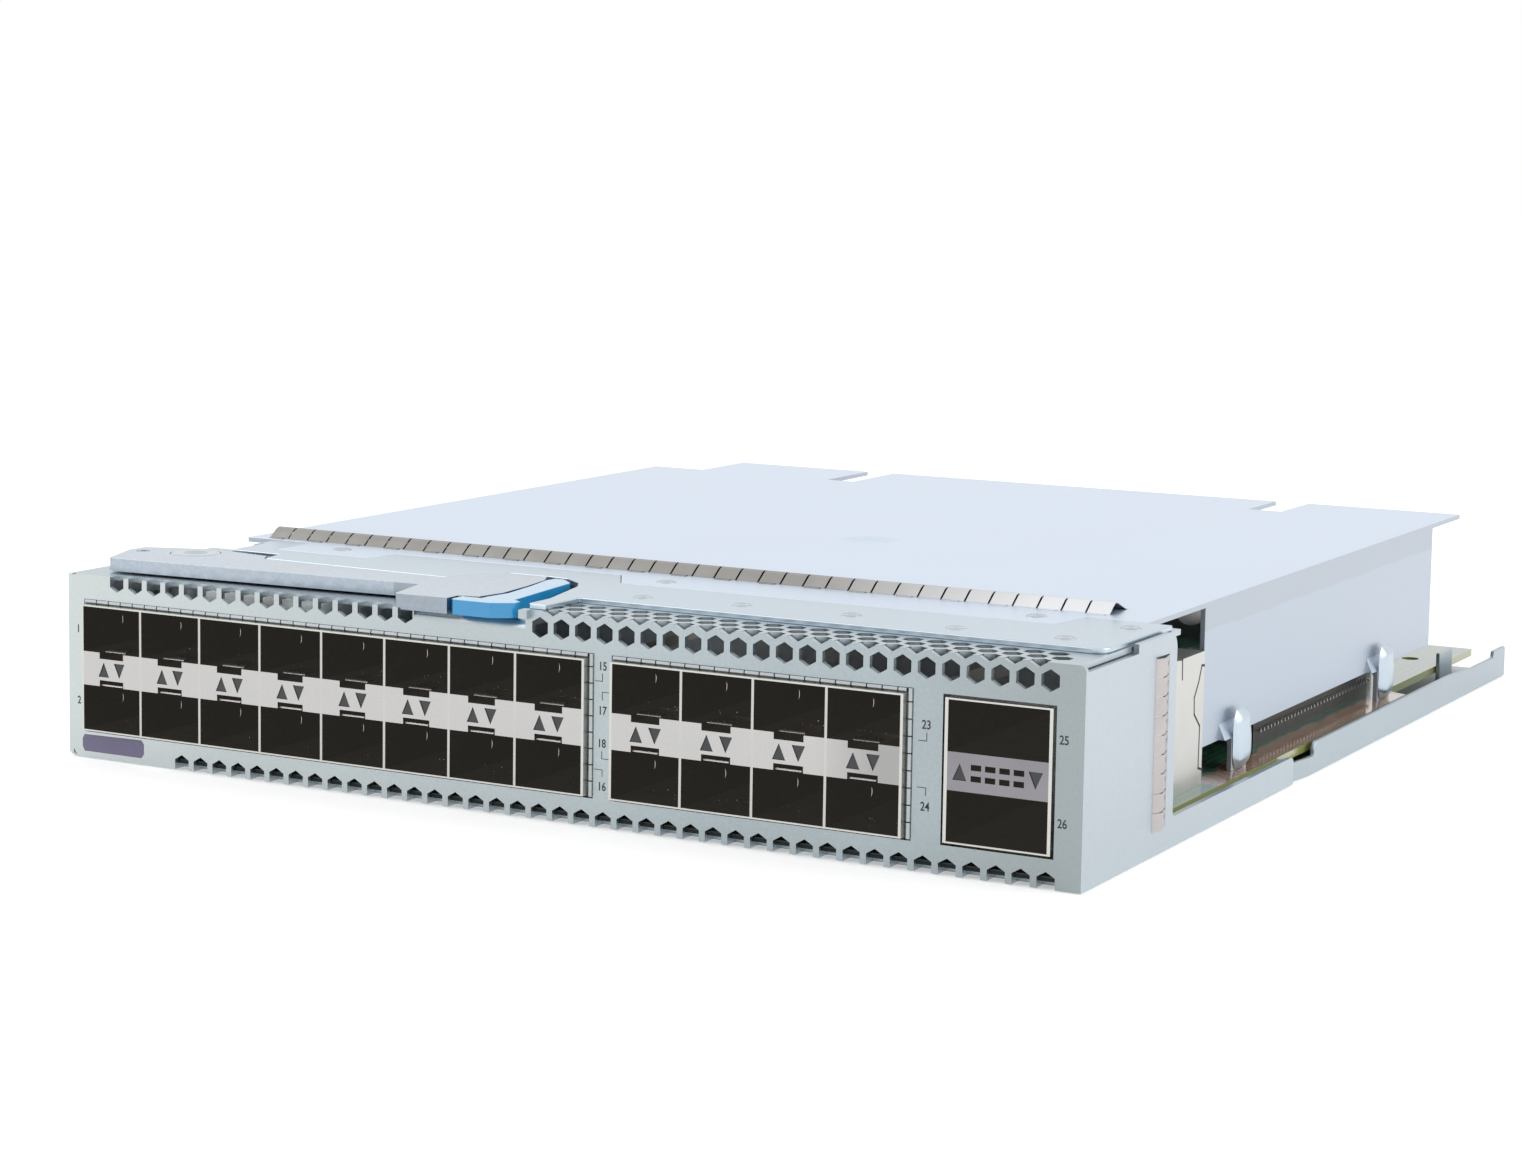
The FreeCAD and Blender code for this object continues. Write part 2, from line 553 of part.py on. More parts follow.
def qsfp_band():
    """Block between the two QSFP openings: arrow windows and two rows of vent holes."""
    mid_z = LOW_TOP + BAND_H / 2
    block = box(Q_LEFT, Q_LEFT + QSFP_W, -QSFP_PROUD, QSFP_D - 16.0, LOW_TOP, HIGH_Z)
    cuts = [slab_y(arrow(Q_LEFT + QSFP_ARROW, mid_z, True, FIT), -QSFP_PROUD, PIPE_D),
            slab_y(arrow(Q_LEFT + QSFP_W - QSFP_ARROW, mid_z, False, FIT), -QSFP_PROUD, PIPE_D)]
    hole_w = 1.9
    hole_h = 1.0
    step = 2.6
    for column in range(4):
        x = Q_LEFT + QSFP_W / 2 + (column - 1.5) * step
        for z in (mid_z - 0.95, mid_z + 0.95):
            cuts.append(box(x - hole_w / 2, x + hole_w / 2, -QSFP_PROUD, 4.0, z - hole_h / 2, z + hole_h / 2))
    return block.cut(cuts)


QSFP_ARROW = 2.3


def qsfp_light_pipes():
    mid_z = LOW_TOP + BAND_H / 2
    up = slab_y(arrow(Q_LEFT + QSFP_ARROW, mid_z, True), -QSFP_PROUD + 0.2, PIPE_D)
    down = slab_y(arrow(Q_LEFT + QSFP_W - QSFP_ARROW, mid_z, False), -QSFP_PROUD + 0.2, PIPE_D)
    return group([up, down])


def port_gasket(left, count):
    """Spring frame in the gap between cage and panel, wider on top and at the right."""
    inner_l = left - DIVIDER - FIT
    inner_r = left + count * PORT_PITCH + FIT
    outer_l = left - DIVIDER - CUT_EDGE + FIT
    outer_r = left + count * PORT_PITCH + CUT_RIGHT - FIT
    low = BOARD_TOP - CUT_EDGE + FIT
    high = CAGE_TOP + CUT_TOP - FIT
    front = -0.9
    ring = box(outer_l, outer_r, front, SHEET + 0.6, low, high)
    ring = ring.cut(box(inner_l, inner_r, front, SHEET + 0.6, BOARD_TOP - FIT, CAGE_TOP + FIT))
    return ring


# ---------------------------------------------------------------- lever, latch and rivets
ARM_EDGE = ((-6.6, -16.3), (-5.8, -10.5), (-7.2, -0.6), (-8.9, 7.7))   # latch arm's left side


def latch_slot_edge():
    """Lever's side beside the latch's arm, wider to the front where the latch moves more."""
    travel = LATCH_GAP / (LATCH_PIN_Y - HANDLE_Y)
    return [(LEVER_END + a - LATCH_SLOT - travel * (LATCH_PIN_Y - PIVOT_Y - b), PIVOT_Y + b)
            for a, b in ARM_EDGE]


def ejector_lever():
    """Flat bar with a nose for the chassis at the left and a lipped handle at the right."""
    x, y, end = PIVOT_X, PIVOT_Y, LEVER_END
    edge = latch_slot_edge()
    bar = [(x - 9.6, y - 14.9, 1.2), (end - 25.7, y - 10.1), (HANDLE_L, HANDLE_Y, 0.8),
           (HANDLE_R, HANDLE_Y + 0.6), (HANDLE_R, edge[0][1] - 1.6), (edge[0][0], edge[0][1] - 0.8)]
    bar += edge + [(end - 11.2, y + 11.6, 1.0), (end - 20.4, y + 11.4, 2.0), (end - 23.0, y + 8.3),
                   (end - 26.9, y + 0.2), (x + 15.8, y + 1.4), (x + 14.0, y + 4.5),
                   (x - 0.2, y + 6.5, 6.0), (x - 13.8, y + 1.4, 1.2), (x - 13.9, y - 3.6)]
    lever = slab_z(bar, LEVER_Z, TOP_Z)
    lip = box(HANDLE_L + 0.9, HANDLE_R, HANDLE_Y + 0.6, HANDLE_Y + 2.0, TOP_Z - LIP_H, LEVER_Z)
    tongue = slab_z([(end - 12.0, y + 4.8), (end - 4.2, y + 4.8), (end - 4.6, y + 8.6),
                     (end - 12.0, y + 9.8)], LEVER_Z, LAP_Z - FIT)
    head_seat = peg(x, y, TOP_Z - HEAD_SINK, TOP_Z, PIVOT_HEAD_R + 0.15, 24)
    bore = disc(x, y, LEVER_Z, TOP_Z, PIVOT_R + FIT)
    cam = peg(x + CAM_SPOT[0], y + CAM_SPOT[1], LEVER_Z, TOP_Z, CAM_R)
    pin = disc(LATCH_PIN_X, LATCH_PIN_Y, LEVER_Z, TOP_Z, LATCH_PIN_R)
    return joined(lever, lip, tongue).cut([head_seat, bore, cam, pin])


CAM_SPOT = (-10.6, -3.2)                         # stop pin, from the pivot
CAM_R = 1.4


def lever_pivot():
    """Shouldered rivet: spacer under the bar, shank in its bore and a flush head."""
    x, y = PIVOT_X, PIVOT_Y
    seat = TOP_Z - HEAD_SINK + FIT
    return joined(peg(x, y, BAY_Z, LEVER_Z - FIT, PIVOT_R + 2.0, 12), disc(x, y, BAY_Z, seat, PIVOT_R),
                  peg(x, y, seat, TOP_Z + 0.1, PIVOT_HEAD_R, 24))


def stop_pin():
    """Pin pressed into the lever's nose end; its foot rides on the bay floor."""
    x, y = PIVOT_X + CAM_SPOT[0], PIVOT_Y + CAM_SPOT[1]
    return peg(x, y, BAY_Z + 0.1, TOP_Z - 0.2, CAM_R)


def latch_pin():
    """Upright pin pressed into the lever's tongue, under the rear end of the latch."""
    return disc(LATCH_PIN_X, LATCH_PIN_Y, LEVER_Z, TOP_Z - LATCH_SKIN, LATCH_PIN_R)


def latch():
    """Moulded latch: finger pad in front of the bar, curved arm back to its upright pin."""
    y, end = PIVOT_Y, LEVER_END
    pad_l = HANDLE_R + LATCH_GAP
    pad_r = end + 1.7
    low = TOP_Z - LATCH_H
    body = [(pad_l, y - 21.8), (pad_l + 0.9, y - 22.6), (end - 2.0, y - 22.5), (pad_r, y - 20.2, 1.5),
            (pad_r, y - 18.0, 1.0), (end - 0.4, y - 16.6), (end - 1.7, y - 4.5), (end - 3.2, y + 7.1, 1.0),
            (end - 6.6, y + 10.4, 1.5), (end - 8.4, y + 10.2)]
    body += [(end + a, y + b) for a, b in reversed(ARM_EDGE)]
    body += [(end + ARM_EDGE[0][0], y - 18.2), (pad_l, y - 18.4)]
    under = box(end - 14.0, end, y + 4.8 - LATCH_SLOT, y + 12.0, low, LAP_Z)
    hole = disc(LATCH_PIN_X, LATCH_PIN_Y, LAP_Z, TOP_Z - LATCH_SKIN + FIT, LATCH_PIN_R + FIT)
    return slab_z(body, low, TOP_Z).cut([under, hole])


def rivets(spots, radius, z, rise):
    """Flush rivets: a shank in the sheets below and a low head."""
    return group([peg(x, y, z, z + rise, radius) for x, y in spots])


# ---------------------------------------------------------------- EMI strips
def cover_strip():
    """Tent-shaped finger strip clipped across the cover."""
    foot = STRIP_REAR + 2.6
    t = STRIP_T
    right = STRIP_LEFT + STRIP_FINGERS * STRIP_PITCH - 0.4
    profile = [(STRIP_FRONT, TOP_Z), (STRIP_RIDGE, TOP_Z + STRIP_RISE - t), (STRIP_REAR, TOP_Z),
               (foot, TOP_Z), (foot, TOP_Z + t), (STRIP_REAR, TOP_Z + t),
               (STRIP_RIDGE, TOP_Z + STRIP_RISE), (STRIP_FRONT - 0.4, TOP_Z)]
    strip = slab_x(profile, STRIP_LEFT, right)
    slits = [box(STRIP_LEFT + i * STRIP_PITCH - 0.4, STRIP_LEFT + i * STRIP_PITCH, STRIP_FRONT - 1,
                 STRIP_REAR - 1.0, TOP_Z - 0.1, TOP_Z + STRIP_RISE + 0.1)
             for i in range(1, STRIP_FINGERS)]
    return strip.cut(slits)


def side_strip():
    """Finger strip in the window of the right side flange, bulging out."""
    t = STRIP_T
    y0 = SIDE_STRIP_Y + FIT
    y1 = SIDE_STRIP_Y + SIDE_STRIP_D - FIT
    x = HALF_W
    height = SIDE_TEETH * SIDE_TOOTH
    crest = y0 + 2.4
    rise = 0.9
    profile = [(x - SHEET, y0), (x, y0), (x + rise, crest), (x + 0.1, y1),
               (x + 0.1 - t, y1), (x + rise - t, crest), (x - t, y0 + t), (x - SHEET, y0 + t)]
    face = panel(profile, lambda p: Vector(p.x, p.y, SIDE_STRIP_Z + FIT))
    strip = face.extrude(Vector(0, 0, height - 2 * FIT))
    slits = [box(x + 0.05, x + rise + 0.2, y0 - 0.2, y1 - 1.2, SIDE_STRIP_Z + i * SIDE_TOOTH - 0.15,
                 SIDE_STRIP_Z + i * SIDE_TOOTH + 0.15) for i in range(1, SIDE_TEETH)]
    return strip.cut(slits)


# ---------------------------------------------------------------- board parts
def chip(x, y, size, height):
    return box(x - size / 2, x + size / 2, y - size / 2, y + size / 2, BOARD_TOP, BOARD_TOP + height)


CHIP_SPOTS = [(-58.0, 78.0), (-8.0, 78.0)]
CHIP_SIZE = 31.0
CHIP_H = 2.6
SWITCH_SPOT = (2.0, 138.0)
SWITCH_SIZE = 42.5
SINK_H = 17.0
FIN_T = 1.2
FIN_PITCH = 6.2


def heat_sink(x, y, size, base_z, height):
    """Base plate with upright fins along Y."""
    base_t = 3.0
    half = size / 2
    count = int((size - FIN_T) / FIN_PITCH) + 1
    start = x - ((count - 1) * FIN_PITCH + FIN_T) / 2
    comb = [(x - half, base_z), (x + half, base_z), (x + half, base_z + base_t)]
    for i in reversed(range(count)):
        a = start + i * FIN_PITCH
        comb += [(a + FIN_T, base_z + base_t), (a + FIN_T, base_z + height), (a, base_z + height),
                 (a, base_z + base_t)]
    comb.append((x - half, base_z + base_t))
    return slab_y(comb, y - half, y + half)


MEZZ = (BOARD_HALF - 18.5, BOARD_HALF - 8.0, 110.0, 181.0)   # X and Y limits of the side header


def side_header():
    """Long low header near the board's right edge, seen below the cover's wall."""
    x0, x1, y0, y1 = MEZZ
    return box(x0, x1, y0, y1, BOARD_TOP, BOARD_TOP + 7.5)


def backplane_connector(x):
    """Right-angle housing at the rear edge with columns of contact slots."""
    width, depth, height = 27.0, 24.0, 15.0
    rear = BOARD_REAR + 1.2
    body = box(x - width / 2, x + width / 2, rear - depth, rear, BOARD_TOP, BOARD_TOP + height)
    slots = [box(x - width / 2 + 2.2 + 4.2 * i, x - width / 2 + 4.0 + 4.2 * i, rear - 4.0, rear,
                 BOARD_TOP + 1.5, BOARD_TOP + height - 1.5) for i in range(6)]
    return body.cut(slots)


GUIDE_R = 4.2
GUIDE_D = 22.0


def guide_block(x):
    """Cast guide with a bore for the chassis pin."""
    width, height = 13.0, 14.0
    rear = BOARD_REAR + 1.2
    body = box(x - width / 2, x + width / 2, rear - GUIDE_D, rear, BOARD_TOP, BOARD_TOP + height)
    bore = Part.makeCylinder(GUIDE_R, GUIDE_D, Vector(x, rear - GUIDE_D, BOARD_TOP + height / 2),
                             Vector(0, 1, 0))
    return body.cut(bore)


def capacitors():
    """Round capacitors in a row beside the inductors."""
    return group([peg(-88.0, 120.0 + 11.0 * i, BOARD_TOP, BOARD_TOP + 10.0, 4.0, 12) for i in range(4)])


def inductors():
    return group([box(-76.0, -65.0, 118.0 + 14.0 * i, 129.0 + 14.0 * i, BOARD_TOP, BOARD_TOP + 6.0)
                  for i in range(3)])


# ---------------------------------------------------------------- export
def parts():
    """Every sub-part by name."""
    pieces = {
        "face_plate": face_plate(),
        "lever_plate": lever_plate(),
        "top_cover": top_cover(),
        "base_tray": base_tray(),
        "circuit_board": circuit_board(),
        "board_standoffs": standoffs(),
        "board_nuts": board_nuts(),
        "sfp_cage_left": cage_shell(A_LEFT, COLUMNS_LEFT, PORT_W, PORT_PITCH, DIVIDER, CAGE_D, PROUD),
        "sfp_cage_right": cage_shell(B_LEFT, COLUMNS_RIGHT, PORT_W, PORT_PITCH, DIVIDER, CAGE_D, PROUD),
        "qsfp_cage": cage_shell(Q_LEFT, 1, QSFP_W, QSFP_W, QSFP_T, QSFP_D, QSFP_PROUD),
        "dividers_left": dividers(A_LEFT, COLUMNS_LEFT),
        "dividers_right": dividers(B_LEFT, COLUMNS_RIGHT),
        "bands_left": bands(A_LEFT, COLUMNS_LEFT),
        "bands_right": bands(B_LEFT, COLUMNS_RIGHT),
        "qsfp_band": qsfp_band(),
        "light_pipes_left": light_pipes(A_LEFT, COLUMNS_LEFT),
        "light_pipes_right": light_pipes(B_LEFT, COLUMNS_RIGHT),
        "qsfp_light_pipes": qsfp_light_pipes(),
        "port_gasket_left": port_gasket(A_LEFT, COLUMNS_LEFT),
        "port_gasket_right": port_gasket(B_LEFT, COLUMNS_RIGHT),
        "qsfp_connector": port_connector(Q_LEFT, QSFP_W, QSFP_D - QSFP_T),
        "ejector_lever": ejector_lever(),
        "lever_pivot": lever_pivot(),
        "stop_pin": stop_pin(),
        "latch": latch(),
        "latch_pin": latch_pin(),
        "plate_rivets": rivets(RIVET_SPOTS + [CORNER_RIVET], RIVET_R, TOP_Z, 0.25),
        "cover_rivets": rivets(COVER_RIVET_SPOTS, RIVET_R, TOP_Z, 0.25),
        "cover_emi_strip": cover_strip(),
        "side_emi_strip_right": side_strip(),
        "side_emi_strip_left": mirrored(side_strip()),
        "switch_chip": chip(*SWITCH_SPOT, SWITCH_SIZE, CHIP_H),
        "switch_heat_sink": heat_sink(*SWITCH_SPOT, SWITCH_SIZE + 8, BOARD_TOP + CHIP_H, SINK_H),
        "side_header": side_header(),
        "capacitors": capacitors(),
        "inductors": inductors(),
    }
    for side, (x, y) in zip(("left", "right"), CHIP_SPOTS):
        pieces["phy_chip_" + side] = chip(x, y, CHIP_SIZE, CHIP_H)
        pieces["phy_heat_sink_" + side] = heat_sink(x, y, CHIP_SIZE + 6, BOARD_TOP + CHIP_H, SINK_H)
    for side, x in (("left", -14.0), ("middle", 14.0), ("right", BOARD_HALF - 43.0)):
        pieces["backplane_connector_" + side] = backplane_connector(x)
    for side, x in (("left", -38.0), ("right", 38.0)):
        pieces["guide_block_" + side] = guide_block(x)
    columns = [A_LEFT + i * PORT_PITCH for i in range(COLUMNS_LEFT)]
    columns += [B_LEFT + i * PORT_PITCH for i in range(COLUMNS_RIGHT)]
    for number, left in enumerate(columns, 1):
        pieces["sfp_connector_%02d" % number] = port_connector(left, PORT_W, CAGE_D - DIVIDER)
    return pieces


def export(pieces):
    """Move the whole card so that the origin lies under its middle, and write the STEP files."""
    whole = Part.makeCompound(list(pieces.values())).BoundBox
    move = Vector(-(whole.XMin + whole.XMax) / 2, -(whole.YMin + whole.YMax) / 2, -whole.ZMin)
    os.makedirs("parts", exist_ok=True)
    for name, shape in pieces.items():
        shape.translate(move)
        shape.exportStep("parts/%s.step" % name)
    print("nodes:", len(pieces), "move:", move)


export(parts())
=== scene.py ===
# %% [markdown]
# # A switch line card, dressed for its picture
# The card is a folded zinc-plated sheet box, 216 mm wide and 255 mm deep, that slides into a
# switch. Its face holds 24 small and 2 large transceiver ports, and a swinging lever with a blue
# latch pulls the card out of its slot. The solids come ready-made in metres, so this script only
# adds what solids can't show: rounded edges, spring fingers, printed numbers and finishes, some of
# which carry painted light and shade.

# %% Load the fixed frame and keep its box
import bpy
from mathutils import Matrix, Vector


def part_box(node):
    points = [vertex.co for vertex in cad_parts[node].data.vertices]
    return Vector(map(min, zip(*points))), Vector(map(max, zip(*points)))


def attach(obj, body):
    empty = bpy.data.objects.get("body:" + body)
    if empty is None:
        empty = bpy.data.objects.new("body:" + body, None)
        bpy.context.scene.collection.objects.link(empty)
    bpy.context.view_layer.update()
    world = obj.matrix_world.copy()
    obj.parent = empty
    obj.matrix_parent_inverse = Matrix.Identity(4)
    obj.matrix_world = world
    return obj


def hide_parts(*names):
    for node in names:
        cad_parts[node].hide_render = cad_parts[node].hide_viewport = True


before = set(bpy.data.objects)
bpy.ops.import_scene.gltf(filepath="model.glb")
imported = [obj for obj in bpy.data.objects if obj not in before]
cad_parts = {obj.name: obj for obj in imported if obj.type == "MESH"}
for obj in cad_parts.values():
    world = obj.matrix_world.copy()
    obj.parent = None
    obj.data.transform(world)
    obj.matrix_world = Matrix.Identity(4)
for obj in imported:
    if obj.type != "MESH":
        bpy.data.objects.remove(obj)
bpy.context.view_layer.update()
print("nodes in the frame:", len(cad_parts))

# %% The tools of the lesson
import math
import random
import bmesh
import bpy
from mathutils import Matrix, Vector

MM = 0.001
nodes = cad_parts

# %% [markdown]
# ## The camera
# The card is seen from its right front corner, a little above the cover, with a long lens, so the
# sides hardly taper. A camera that only pans, tilts and rolls keeps the uprights straight, and a
# small lens shift puts the card low in the picture without tilting the camera any further.

# %% Place the camera
CAMERA_SPOT = Vector((0.3080, -0.61245, 0.1266))
CAMERA_PAN, CAMERA_TILT, CAMERA_ROLL = (math.radians(a) for a in (-29.258, -6.3096, 0.769))
LENS = 76.85
SHIFT = (0.0381, -0.0670)

forward = Vector((math.sin(CAMERA_PAN) * math.cos(CAMERA_TILT),
                  math.cos(CAMERA_PAN) * math.cos(CAMERA_TILT), math.sin(CAMERA_TILT)))
right = Vector((math.cos(CAMERA_PAN), -math.sin(CAMERA_PAN), 0))
turn = Matrix((right, right.cross(forward), -forward)).transposed().to_4x4()
camera_data = bpy.data.cameras.new("camera")
camera_data.lens = LENS
camera_data.sensor_width = 36
camera_data.shift_x, camera_data.shift_y = SHIFT
camera_data.clip_start, camera_data.clip_end = 0.01, 50
camera = bpy.data.objects.new("camera", camera_data)
camera.matrix_world = (Matrix.Translation(CAMERA_SPOT) @ turn
                       @ Matrix.Rotation(CAMERA_ROLL, 4, "Z"))
bpy.context.scene.collection.objects.link(camera)
bpy.context.scene.camera = camera
print("camera to card centre: %.3f m" % (CAMERA_SPOT - Vector((0, 0, 0.02))).length)

# %% [markdown]
# ## Places on the card
# The card's own measures are easiest in millimetres: across from the middle, back from the face
# plane, and up from the tray's underside. One helper turns them into the frame's metres, and the
# face plane comes from the cage mouths, which stand 1.5 mm proud of it.

# %% Places in millimetres
face_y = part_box("sfp_cage_left")[0].y + 1.5 * MM


def at(x, y, z):
    return Vector((x * MM, face_y + y * MM, z * MM))


def edges_of(name):
    """Lowest and highest corner of a node in the same millimetres."""
    low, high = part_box(name)
    return ((low.x / MM, (low.y - face_y) / MM, low.z / MM),
            (high.x / MM, (high.y - face_y) / MM, high.z / MM))


LEFT_FACE, RIGHT_FACE = edges_of("base_tray")[0][0], edges_of("base_tray")[1][0]
TOP_Z = edges_of("top_cover")[1][2]
print("face from %.1f to %.1f mm, cover at %.1f mm" % (LEFT_FACE, RIGHT_FACE, TOP_Z))

# %% [markdown]
# ## Mesh tools
# Spring fingers, printed marks and lips are all little strips that follow a profile. One helper
# sweeps an open profile into a thin strip, one extrudes a flat outline, and one turns the
# finished bmesh into a piece that rides on its body.

# %% Strips, plates and pieces
def add_plate(bm, corners, place, low, high):
    """Extrude a flat outline of (a, b) corners between two depths."""
    rings = [[bm.verts.new(place(a, b, depth)) for a, b in corners] for depth in (low, high)]
    bm.faces.new(rings[0])
    bm.faces.new(list(reversed(rings[1])))
    for i in range(len(corners)):
        j = (i + 1) % len(corners)
        bm.faces.new((rings[0][i], rings[1][i], rings[1][j], rings[0][j]))


def add_strip(bm, profile, place, low, high, thickness=0.15):
    """Sweep an open (a, b) profile from low to high as a sheet of the given thickness."""
    normals = []
    for i, point in enumerate(profile):
        before, after = profile[max(i - 1, 0)], profile[min(i + 1, len(profile) - 1)]
        run = Vector((after[0] - before[0], after[1] - before[1])).normalized()
        normals.append((-run.y, run.x))
    outer = list(profile)
    inner = [(a - n[0] * thickness, b - n[1] * thickness)
             for (a, b), n in zip(profile, normals)]
    rings = [[bm.verts.new(place(a, b, depth)) for a, b in outer + inner[::-1]]
             for depth in (low, high)]
    count = len(profile)
    for ring in rings:
        for i in range(count - 1):
            bm.faces.new((ring[i], ring[i + 1], ring[2 * count - 2 - i], ring[2 * count - 1 - i]))
    for i in range(2 * count):
        j = (i + 1) % (2 * count)
        bm.faces.new((rings[0][i], rings[1][i], rings[1][j], rings[0][j]))


def piece_from(name, bm, body="chassis", stands_for=(), corner=None):
    """Turn a bmesh into a piece; corner is the angle above which an edge stays sharp."""
    bmesh.ops.recalc_face_normals(bm, faces=bm.faces)
    mesh = bpy.data.meshes.new(name)
    bm.to_mesh(mesh)
    bm.free()
    if corner:
        mesh.shade_smooth()
        mesh.set_sharp_from_angle(angle=math.radians(corner))
    piece = bpy.data.objects.new(name, mesh)
    bpy.context.scene.collection.objects.link(piece)
    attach(piece, body)
    if stands_for:
        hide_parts(*stands_for)
    return piece


print("mesh tools ready")

# %% [markdown]
# ## Shader sums
# A finish is a small graph of nodes. Wrapping a socket in a class with Python's own operators
# lets `1 - mask * 0.3` stand for its Math nodes, so a finish reads as one line of arithmetic.

# %% A value that can be used in sums, and a finish that collects nodes
class Value:
    """A socket of a finish; sums with it add Math nodes."""

    def __init__(self, finish, socket):
        self.finish, self.socket = finish, socket

    def maths(self, operation, *values):
        return self.finish.node("Math", {"operation": operation}, dict(enumerate(values)))

    def __add__(self, other):
        return self.maths("ADD", self, other)

    def __sub__(self, other):
        return self.maths("SUBTRACT", self, other)

    def __rsub__(self, other):
        return self.maths("SUBTRACT", other, self)

    def __mul__(self, other):
        return self.maths("MULTIPLY", self, other)

    def __gt__(self, other):
        return self.maths("GREATER_THAN", self, other)

    def __lt__(self, other):
        return self.maths("LESS_THAN", self, other)

    __radd__ = __add__
    __rmul__ = __mul__


class Finish:
    """One material: its Principled shader and the nodes that feed it."""

    def __init__(self, name):
        self.material = bpy.data.materials.new(name)
        self.material.use_nodes = True
        self.tree = self.material.node_tree
        self.shader = self.tree.nodes["Principled BSDF"]

    def node(self, kind, settings=None, inputs=None, output=0):
        """Add a node, set it up, fill its sockets and give one output back."""
        made = self.tree.nodes.new("ShaderNode" + kind)
        for key, setting in (settings or {}).items():
            if key == "stops":
                self.set_stops(made.color_ramp, setting)
            else:
                setattr(made, key, setting)
        for key, value in (inputs or {}).items():
            self.plug(made.inputs[key], value)
        return Value(self, made.outputs[output])

    def plug(self, socket, value):
        if isinstance(value, Value):
            self.tree.links.new(value.socket, socket)
        else:
            socket.default_value = value

    def set_stops(self, ramp, stops):
        while len(ramp.elements) < len(stops):
            ramp.elements.new(0.5)
        for element, (place, colour) in zip(ramp.elements, stops):
            element.position, element.color = place, colour

    def feed(self, **sockets):
        """Set the shader's sockets; base_color=... stands for Base Color."""
        for key, value in sockets.items():
            self.plug(self.shader.inputs[key.replace("_", " ").title()], value)
        return self

    def place(self):
        """Where a point lies in the frame, in metres."""
        return self.node("TexCoord", output="Object")

    def axis(self, letter):
        return self.node("SeparateXYZ", inputs={0: self.place()}, output=letter)

    def facing(self, letter="Z"):
        """The normal's part along one axis: for Z, 1 on top faces and -1 on undersides."""
        return self.node("SeparateXYZ", inputs={0: self.node("NewGeometry", output="Normal")},
                         output=letter)

    def slope(self, letter="Z"):
        """The same without its sign, so both sides of a sheet give the same value."""
        facing = self.facing(letter)
        return facing.maths("ABSOLUTE", facing)

    def noise(self, scale, detail=2.0, stretch=(1, 1, 1)):
        """Cloudy pattern round 0.5, with `scale` clouds to the metre."""
        where = self.node("Mapping", inputs={0: self.place(), "Scale": stretch})
        return self.node("TexNoise", inputs={"Vector": where, "Scale": scale, "Detail": detail})

    def blend(self, mask, low, high):
        """Colour that goes from low to high with the mask."""
        return self.node("Mix", {"data_type": "RGBA"}, {0: mask, 6: low, 7: high}, output=2)

    def bump(self, height, depth, strength=1.0):
        return self.node("Bump", inputs={"Height": height, "Distance": depth,
                                         "Strength": strength})


def rgb(red, green, blue):
    return (red, green, blue, 1.0)


print("shader tools ready")

# %% [markdown]
# ## The studio
# A white cove with soft light all round: the world gives the even light, and two large soft boxes
# give the sheet metal its slow gradients; on the face, a painted light gradient adds to them. The
# floor is pale and takes the card's shadow. Rays that go straight to the camera, or that the metal
# mirrors, see the cove as plain white.

# %% World, soft boxes and floor
def white_to_eye(tree):
    """1 for rays from the camera, off metal and through clear plastic; else 0."""
    path = tree.nodes.new("ShaderNodeLightPath")
    total = path.outputs["Is Camera Ray"]
    for name in ("Is Glossy Ray", "Is Transmission Ray"):
        add = tree.nodes.new("ShaderNodeMath")
        add.operation = "MAXIMUM"
        tree.links.new(total, add.inputs[0])
        tree.links.new(path.outputs[name], add.inputs[1])
        total = add.outputs[0]
    return total


WORLD_SOFT = 0.72           # what diffuse surfaces receive from the cove
world = bpy.data.worlds.new("cove")
world.use_nodes = True
bpy.context.scene.world = world
back = world.node_tree.nodes["Background"]
mix = world.node_tree.nodes.new("ShaderNodeMix")
mix.data_type = "RGBA"
mix.inputs[6].default_value = rgb(WORLD_SOFT, WORLD_SOFT, WORLD_SOFT)
mix.inputs[7].default_value = rgb(1, 1, 1)
world.node_tree.links.new(white_to_eye(world.node_tree), mix.inputs[0])
world.node_tree.links.new(mix.outputs[2], back.inputs["Color"])


def soft_box(name, spot, aim, size, watts, colour=(1, 1, 1)):
    lamp = bpy.data.lights.new(name, "AREA")
    lamp.size, lamp.energy, lamp.color = size, watts, colour
    lamp_object = bpy.data.objects.new(name, lamp)
    lamp_object.location = spot
    lamp_object.rotation_euler = (Vector(aim) - Vector(spot)).to_track_quat("-Z", "Y").to_euler()
    bpy.context.scene.collection.objects.link(lamp_object)


soft_box("soft_box_left", (-1.3, -0.9, 1.2), (0, 0, 0), 1.4, 9)
soft_box("soft_box_right", (1.5, 0.3, 1.0), (0, 0, 0), 1.4, 9)

FLOOR_HALF = 6.0
floor_mesh = bpy.data.meshes.new("floor")
floor_mesh.from_pydata([(x * FLOOR_HALF, y * FLOOR_HALF, -0.0002) for x, y in
                        ((-1, -1), (1, -1), (1, 1), (-1, 1))], [], [(0, 1, 2, 3)])
floor = bpy.data.objects.new("floor", floor_mesh)
bpy.context.scene.collection.objects.link(floor)

paper = Finish("studio_paper")
paper.feed(base_color=rgb(0.9, 0.9, 0.9), roughness=0.9)
paper.shader.inputs["Specular IOR Level"].default_value = 0.0
glow = paper.node("Mix", {"data_type": "RGBA"}, {6: rgb(0, 0, 0), 7: rgb(0.35, 0.35, 0.35)},
                  output=2)
paper.tree.links.new(white_to_eye(paper.tree), glow.socket.node.inputs[0])
paper.feed(emission_color=glow, emission_strength=1.0)
floor_mesh.materials.append(paper.material)
bpy.context.scene.view_settings.view_transform = "Standard"
print("studio lit")

